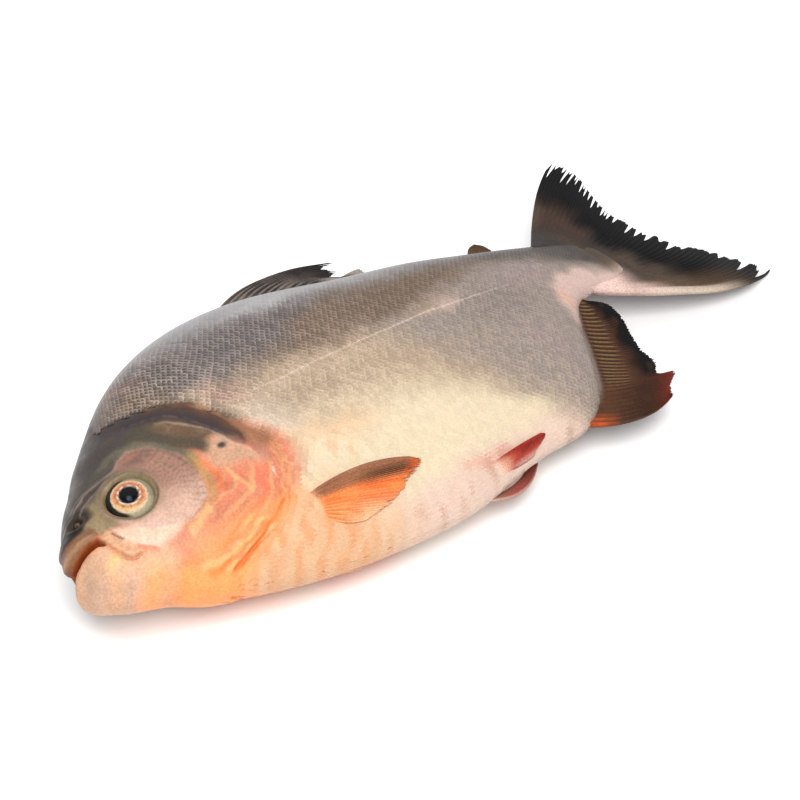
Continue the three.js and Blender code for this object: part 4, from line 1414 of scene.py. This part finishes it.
def ray_ridges(phase, along):
    """Height of the rays across a fin, 0 in the web and 1 on a ray. Rays split in two towards the edge."""
    single = np.abs(np.cos(math.pi * phase)) ** 3
    double = np.abs(np.cos(2 * math.pi * phase)) ** 3
    share = smooth(along, 0.35, 0.6)
    return single * (1 - share) + double * share


def fin_edge(fin, seed):
    """How far each column of a fin reaches: frayed ends, and tears in the web between some of its rays."""
    rng = np.random.default_rng(seed)
    columns = (fin["rays"] - 1) * COLUMNS_PER_RAY + 1
    reach = 1 - fin["frayed"] * rng.uniform(0, 1, columns)
    low, high = fin["tears"]
    for gap in range(fin["rays"] - 1):
        for place, chance, share in ((COLUMNS_PER_RAY // 2, fin["torn"], 1.0), (0, 0.6 * fin["torn"], 0.55)):
            torn = rng.uniform() < chance
            depth = share * rng.uniform(low, high) if torn else fin["frayed"] * rng.uniform(0.5, 1.5)
            column = gap * COLUMNS_PER_RAY + place
            wide = np.interp(column / columns, (0, 1), fin.get("slit", (1.0, 1.0)))
            for near in range(max(column - 3, 0), min(column + 4, columns)):
                reach[near] -= depth * np.clip(1 - abs(near - column) / (wide + 1), 0, 1) ** 0.5
    return reach


def fin_piece(name, look, kind, fin, place, seed):
    """A thin fan with raised rays on both faces and a torn edge."""
    columns = (fin["rays"] - 1) * COLUMNS_PER_RAY + 1
    across = np.linspace(0, 1, columns)
    lines = ([(*at, 0)[:3] for at in fin[key]] for key in ("root", "middle", "edge"))
    root, middle, edge = (catmull(line, across) for line in lines)
    reach = fin_edge(fin, seed)
    share = np.linspace(0, 1, FIN_ROWS + 1)[:, None]
    along = share * reach[None, :]
    t = along[..., None]
    spots = (1 - t) ** 2 * root + 2 * t * (1 - t) * middle + t**2 * edge
    phase = np.broadcast_to(across * (fin["rays"] - 1), along.shape)
    ridge = ray_ridges(phase, along)
    thick = fin["thick"][0] * (1 - along) + fin["thick"][1] * along
    flat = fin.get("flat_root", 0.0)
    raised = smooth(along, flat, flat + 0.3)
    half = 0.5 * thick * (1 - 0.55 * (1 - ridge) * raised)
    wave = 0.5 * wander(spots[..., 0], spots[..., 1], 16, seed) * along
    x, y, side = place(spots[..., 0], spots[..., 1], spots[..., 2] + wave)
    front, back = lay(x, y, side + half), lay(x, y, side - half)
    count = along.size
    faces = grid_faces(FIN_ROWS + 1, columns, False)
    faces += [tuple(i + count for i in face[::-1]) for face in faces]
    grid = np.arange(count).reshape(along.shape)
    rim = [*grid[0], *grid[1:, -1], *grid[-1, -2::-1], *grid[-2:0:-1, 0]]
    faces += [(b, a, a + count, b + count) for a, b in zip(rim, rim[1:] + rim[:1])]
    piece = mesh_object(name, np.vstack([front.reshape(-1, 3), back.reshape(-1, 3)]), faces)
    face_out(piece.data)
    first, paint = FIN_PAINTS[kind]
    coat = Coat(look, x, y, first)
    paint(coat, np.broadcast_to(across, along.shape), along, ridge, x, y)
    give_colour(piece.data, "tint", np.stack([coat.tint, coat.tint]))
    uv = np.stack(np.broadcast_arrays(across[None, :], share * 0.48), -1).reshape(-1, 2)
    give_uv(piece.data, np.vstack([uv, uv + (0, 0.5)]))
    piece.data.materials.append(material_named("fin_web", fin_material))
    return hand_over(piece, "skin", "fish")


def face_out(mesh):
    """Turns the faces of a closed mesh outwards if its volume comes out negative."""
    mesh.calc_loop_triangles()
    places = take_vector(mesh.vertices, "co")
    corners = np.zeros(len(mesh.loop_triangles) * 3, np.int32)
    mesh.loop_triangles.foreach_get("vertices", corners)
    a, b, c = (places[corners[k::3]] for k in range(3))
    if (a * np.cross(b, c)).sum() < 0:
        mesh.flip_normals()


def paint_tail_fin(coat, across, along, ridge, x, y):
    upper = smooth(across, 0.5, 0.34)
    coat("fin_brown", 0.7, upper, (along, 0.1, 0.3), 0.35 + 0.65 * ridge)
    coat("umber", 0.3, (across, 0.42, 0.6), (along, 0.12, 0.3), (along, 0.75, 0.5))
    coat("umber", 0.35, (across, 0.08, 0.0), (along, 0.8, 0.5))
    start = 0.46 - 0.14 * near(across, 0.5, 0.16) + 0.06 * wander(x, y, 9, 5)
    lower_rim = smooth(across, 0.9, 0.985) * smooth(along, 0.8, 0.6)
    coat("fin_black", 1, (along - start, -0.14, 0.16), 1 - 0.8 * lower_rim)
    coat("umber", 0.4, (across, 0.8, 0.92), (along, 0.9, 0.6))
    coat("fin_pale", 0.85, (across, 0.945, 0.985), (along, 0.75, 0.45))
    coat("rose", 0.8, (across, 0.86, 0.94), (along, 0.35, 0.1))
    root = smooth(along, 0.24, 0.08)
    coat.blend((0.7 + 0.25 * root)[..., None] * paint_flank(coat.look, x, y), root)


def paint_vent_fin(coat, across, along, ridge, x, y):
    rays = smooth(along, 0.1, 0.2) * smooth(along, 0.62, 0.36) * smooth(across, 0.18, 0.34)
    coat("fin_black", 0.55, 1 - ridge, (across, 0.2, 0.36))
    coat("fin_gold", 0.75, rays, (ridge, 0.25, 0.8))
    coat("rust", 0.75, (across, 0.9, 1.0))
    out = along + 0.08 * wander(x, y, 7, 6) + 0.22 * smooth(across, 0.5, 1.0)
    coat("fin_black", 1, (out, 0.5, 0.86), (across, 0.24, 0.4))
    lobe = smooth(across, 0.34, 0.2)
    coat("rust", 0.4, lobe)
    coat("fin_red", 0.5, lobe, (along, 0.62, 0.9), 0.5 + 0.5 * ridge)
    coat("fin_black", lobe, 0.3 + 0.35 * (1 - ridge), (along, 0.15, 0.5), 1 - 0.6 * smooth(along, 0.8, 0.95))
    coat("fin_black", 0.6, (across, 0.1, 0.02), (along, 0.8, 0.95))
    coat("fin_orange", 0.5, (across, 0.08, 0.02), (along, 0.34, 0.14), 0.4 + 0.6 * ridge)
    coat("steel", 0.9, (along, 0.14, 0.04), (across, 0.1, 0.2))
    coat("rust", 0.3, (wander(x, y, 5, 16), 0.0, 1.0))


def paint_back_fin(coat, across, along, ridge, x, y):
    coat("steel", 0.5, (ridge + 0.4 * wander(x, y, 6, 15), 0.3, 0.9), (along, 0.95, 0.5))
    coat("fin_black", 0.7, (along, 0.45, 0.9), 0.4 + 0.6 * (1 - ridge))
    coat("steel", 0.35, (along, 0.35, 0.15))
    coat("steel", 0.9, (across, 0.56, 0.64), (along, 0.5, 0.8))


def paint_fatty_fin(coat, across, along, ridge, x, y):
    coat("olive", 0.6, (along, 0.3, 0.9))
    coat("fin_brown", 0.4, ridge)


def paint_breast_fin(coat, across, along, ridge, x, y):
    streak = wander(across * 60, along * 12, 3, 9)
    coat("fin_orange", 0.4 + 0.4 * smooth(streak, -0.5, 0.8), (along, 0.0, 0.2))
    coat("fin_tan", 0.95, (across, 0.55, 0.3), (along, 0.0, 0.2))
    coat("fin_brown", 0.3, (across, 0.5, 0.2), (streak, -0.2, 0.8), (along, 0.05, 0.25))
    coat("mauve", 0.35, (across, 0.14, 0.0))
    stripes = (1 - ridge) * smooth(along, 0.35, 0.6)
    coat("snout", 0.9, stripes, near(across, 0.36, 0.14))
    coat("snout", 0.3, (along, 0.5, 0.7), near(across, 0.34, 0.12))
    coat("fin_red", 0.35, stripes, (across, 0.5, 0.7))
    coat("peach", 0.6, (across, 0.55, 0.9), (ridge, 0.3, 0.9))
    coat("fin_orange", 0.8, (along, 0.84, 1.0), (across, 0.05, 0.2), (across, 0.6, 0.4))
    root = 0.75 * smooth(along, 0.2, 0.0) + 0.6 * smooth(across, 0.6, 1.0) * smooth(along, 0.3, 0.9)
    coat.blend(paint_flank(coat.look, x, y), root)


def paint_belly_fin(coat, across, along, ridge, x, y):
    coat("fin_red", 1, (along, 0.25, 0.5), 0.65 + 0.35 * ridge)
    coat("fin_red", 0.5, (across, 0.2, 0.0), (along, 0.1, 0.4))
    coat("fin_black", 0.7, (along, 0.45, 0.65), near(across, 0.5, 0.24), 1 - ridge)
    coat("fin_pale", 0.4, (across, 0.75, 1.0), (along, 0.3, 0.6))
    coat.blend(paint_flank(coat.look, x, y), 0.85 * smooth(along, 0.45, 0.1))


def paint_right_belly_fin(coat, across, along, ridge, x, y):
    coat("fin_red", 0.7, (along, 0.1, 0.5), 0.5 + 0.5 * ridge)
    coat("fin_brown", 0.7, (along, 0.4, 0.8), 1 - ridge)
    coat("milk", 0.35, (across, 0.2, 0.0))


# The first colour and the painter of each fin.
FIN_PAINTS = {
    "tail_fin": ("fin_slate", paint_tail_fin),
    "anal_fin": ("fin_brown", paint_vent_fin),
    "dorsal_fin": ("fin_slate", paint_back_fin),
    "adipose_fin": ("nape", paint_fatty_fin),
    "pectoral": ("amber", paint_breast_fin),
    "pelvic": ("salmon", paint_belly_fin),
    "pelvic_right": ("mauve", paint_right_belly_fin),
}


class FISH_OT_middle_fins(Operator):
    """Builds the back fin, the fatty fin, the tail fin and the vent fin"""

    bl_idname = "fish.middle_fins"
    bl_label = "Fins of the middle plane"

    def execute(self, context):
        for seed, (name, fin) in enumerate(FINS.items()):
            fin_piece(name, fish_look(context), name, fin, lambda x, y, side: (x, y, side), 50 + seed)
        return {"FINISHED"}


class FISH_OT_paired_fins(Operator):
    """Builds the breast fins and the belly fin that lie against the flanks"""

    bl_idname = "fish.paired_fins"
    bl_label = "Paired fins"

    def execute(self, context):
        for name, fin in FLANK_FINS.items():
            for hand, word in zip(fin["sides"], ("left", "right")):

                def place(x, y, lift, hand=hand):
                    return x, y, hand * (flank(x, y) + lift)

                fin_piece(f"{name}_{word}", fish_look(context), name, fin, place, 60 + hand)
        return {"FINISHED"}


# ---- eyes

EYE_SUNK = 2.2
GAZE = (-0.9, -0.9)
EYE_RINGS = 44
EYE_COLUMNS = 96


class FISH_OT_eyes(Operator):
    """Sets both eyeballs with pupil, iris and the clear rim in their sockets"""

    bl_idname = "fish.eyes"
    bl_label = "Eyes"

    def execute(self, context):
        for name, hand in (("eye_left", 1), ("eye_right", -1)):
            eye = eye_piece(name + "_ball", hand, context.scene.fish_sizes)
            hand_over(eye, "eye", name)
        return {"FINISHED"}


def eye_tint(along, rise, iris, pupil):
    """Colour of the eyeball by place towards the tail and towards the back."""
    r = np.hypot(along, rise)
    angle = np.arctan2(rise, along)
    blur = 0.25 * wander(along * 8, rise * 8, 5, 41)
    coat = Coat(lambda code: np.array(shade(code)), along, rise, "8f8a74")
    coat("b9ae90", 0.7, (-rise - 0.4 * along, 1, 6))
    shadow = np.hypot(along - 1.6, rise + 0.8)
    coat("141416", 0.95, (shadow, iris + 0.7, iris + 1.6), (np.cos(angle - math.radians(150)), -0.1, 0.35))
    coat("d9c5a4", 1, (r, iris + 0.3, iris - 0.1))
    coat("cf8763", 1, (r + blur, iris - 0.2, iris - 0.7))
    coat("dcbc80", 0.6, (r, iris - 0.3, iris - 0.8), (np.cos(angle - math.radians(225)), 0.2, 0.9))
    coat("8a4a2c", 0.6, (np.sin(11 * angle + 3 * blur), 0.2, 1), (r, iris - 0.9, iris - 1.7))
    coat("8a5a3e", 0.5, (r, pupil + 2.2, pupil + 1.5))
    coat("f0d6c0", 0.75, (r, pupil + 0.9, pupil + 0.6))
    coat("3a241c", 0.7, (r, pupil + 0.45, pupil + 0.25))
    coat("040507", 1, (r, pupil + 0.25, pupil - 0.1))
    # painted reflection on the pupil
    coat("4c586c", 0.55, ((-1.0, -1.5), (1.3, 1.5), 0, 0.5))
    return coat.tint


def eye_piece(name, hand, sizes):
    """A flattened ball with the iris raised round a sunk pupil."""
    out = facing(EYE["x"], EYE["y"], hand)
    tail = np.array([1.0, 0.0, 0.0])
    tail -= out * (tail @ out)
    tail /= np.linalg.norm(tail)
    up = np.cross(out, tail) * hand
    iris, pupil = sizes.iris_radius / MM, sizes.pupil_radius / MM
    lean = np.linspace(0.02, math.pi, EYE_RINGS)
    turn = np.linspace(0, 2 * math.pi, EYE_COLUMNS, endpoint=False)
    lean, turn = np.meshgrid(lean, turn, indexing="ij")
    r = EYE["radius"] * np.sin(lean)
    along, rise = r * np.cos(turn), r * np.sin(turn)
    seen = np.hypot(along - GAZE[0], rise - GAZE[1])
    height = EYE["depth"] * np.cos(lean)
    front = smooth(-lean, -1.4, -1.2)
    relief = 0.25 * near(seen - iris, -0.6, 0.8) + 0.2 * near(seen - pupil, 0.9, 0.5)
    relief -= 0.3 * smooth(seen, pupil + 0.4, pupil - 0.5)
    height = height + front * relief
    centre = eye_centre(hand) - EYE_SUNK * out
    places = centre + along[..., None] * tail + rise[..., None] * up + height[..., None] * out
    tip = centre + out * (EYE["depth"] - 0.3)
    spots = to_frame(np.vstack([places.reshape(-1, 3), tip[None]]))
    faces = grid_faces(EYE_RINGS, EYE_COLUMNS, True)
    last = len(spots) - 1
    faces += [(last, (column + 1) % EYE_COLUMNS, column) for column in range(EYE_COLUMNS)]
    eye = mesh_object(name, spots, faces)
    face_out(eye.data)
    tint = eye_tint(along - GAZE[0], rise - GAZE[1], iris, pupil).reshape(-1, 3)
    give_colour(eye.data, "tint", np.vstack([tint, tint[0]]))
    eye.data.materials.append(material_named("wet_eye", eye_material))
    return eye


# ---- studio


FLOOR_REACH = 4.0
FLOOR_TINTS = ((0.93, 0.925, 0.92, 1), (0.95, 0.945, 0.94, 1))
# The place of each light and the length of its side, in metres.
KEY_LIGHT = ((0.25, 0.75, 1.25), 1.1)
FRONT_LIGHT = ((-0.55, -0.65, 1.25), 0.9)
LIT_SPOT = (0, 0, 0.02)


class FISH_OT_studio(Operator):
    """Sets up the camera, the pale floor and the soft light"""

    bl_idname = "fish.studio"
    bl_label = "Studio"

    def execute(self, context):
        scene, studio = context.scene, context.scene.fish_studio
        right = Vector((math.cos(studio.azimuth), math.sin(studio.azimuth), 0))
        back = Vector((right.y, -right.x, math.tan(studio.elevation))).normalized()
        up = back.cross(right)
        camera = bpy.data.objects.new("camera", bpy.data.cameras.new("camera"))
        camera.data.sensor_width = 36
        camera.data.lens = studio.lens
        camera.data.clip_start, camera.data.clip_end = 0.05, 20
        turn = Matrix((right, up, back)).transposed().to_4x4()
        camera.matrix_world = Matrix.Translation(Vector(studio.target) + back * studio.distance) @ turn
        scene.collection.objects.link(camera)
        scene.camera = camera

        corners = [(x * FLOOR_REACH, y * FLOOR_REACH, 0) for x, y in ((-1, -1), (1, -1), (1, 1), (-1, 1))]
        floor = mesh_object("floor", corners, [(0, 1, 2, 3)])
        floor.data.materials.append(floor_material())

        world = bpy.data.worlds.new("white_surround")
        world.use_nodes = True
        tree = world.node_tree
        Wiring(tree).feed(tree.nodes["Background"], Color=(1.0, 1.0, 1.0, 1), Strength=studio.sky)
        scene.world = world
        area_light("key_light", *KEY_LIGHT, studio.key)
        area_light("front_light", *FRONT_LIGHT, studio.fill)
        scene.view_settings.view_transform = "Standard"
        return {"FINISHED"}


def floor_material():
    material, w, shader = new_material("pale_floor", 0.7, 0.2)
    w.feed(shader, Base_Color=w.mix(w.noise(60, 2), *FLOOR_TINTS))
    w.feed(shader, Emission_Color=(1.0, 0.98, 0.97, 1), Emission_Strength=0.04)
    return material


def area_light(name, place, size, power):
    light = bpy.data.lights.new(name, "AREA")
    light.shape = "SQUARE"
    light.size = size
    light.energy = power
    lamp = bpy.data.objects.new(name, light)
    lamp.location = place
    lamp.rotation_euler = (Vector(LIT_SPOT) - Vector(place)).to_track_quat("-Z", "Y").to_euler()
    bpy.context.scene.collection.objects.link(lamp)


# ---- panel and main

PIECES = (
    FISH_OT_studio,
    FISH_OT_head,
    FISH_OT_trunk,
    FISH_OT_scales,
    FISH_OT_middle_fins,
    FISH_OT_paired_fins,
    FISH_OT_eyes,
)


class FISH_PT_panel(Panel):
    """Lists the pieces of the fish"""

    bl_idname = "FISH_PT_panel"
    bl_label = "Whole Raw Fish"
    bl_space_type = "VIEW_3D"
    bl_region_type = "UI"
    bl_category = "Fish"

    def draw(self, context):
        for piece in PIECES:
            self.layout.operator(piece.bl_idname)
        for group in (context.scene.fish_sizes, context.scene.fish_colours, context.scene.fish_studio):
            box = self.layout.box()
            for key in group.bl_rna.properties.keys():
                if key not in ("rna_type", "name"):
                    box.prop(group, key)


GROUPS = {"fish_colours": FishColours, "fish_sizes": FishSizes, "fish_studio": StudioSettings}
CLASSES = tuple(GROUPS.values()) + PIECES + (FISH_PT_panel,)


def register():
    for kind in CLASSES:
        bpy.utils.register_class(kind)
    for name, group in GROUPS.items():
        setattr(bpy.types.Scene, name, PointerProperty(type=group))


def unregister():
    for name in GROUPS:
        delattr(bpy.types.Scene, name)
    for kind in reversed(CLASSES):
        bpy.utils.unregister_class(kind)


def main():
    register()
    for piece in PIECES:
        group, name = piece.bl_idname.split(".")
        getattr(getattr(bpy.ops, group), name)()
    bpy.context.view_layer.update()


if __name__ == "__main__":
    main()
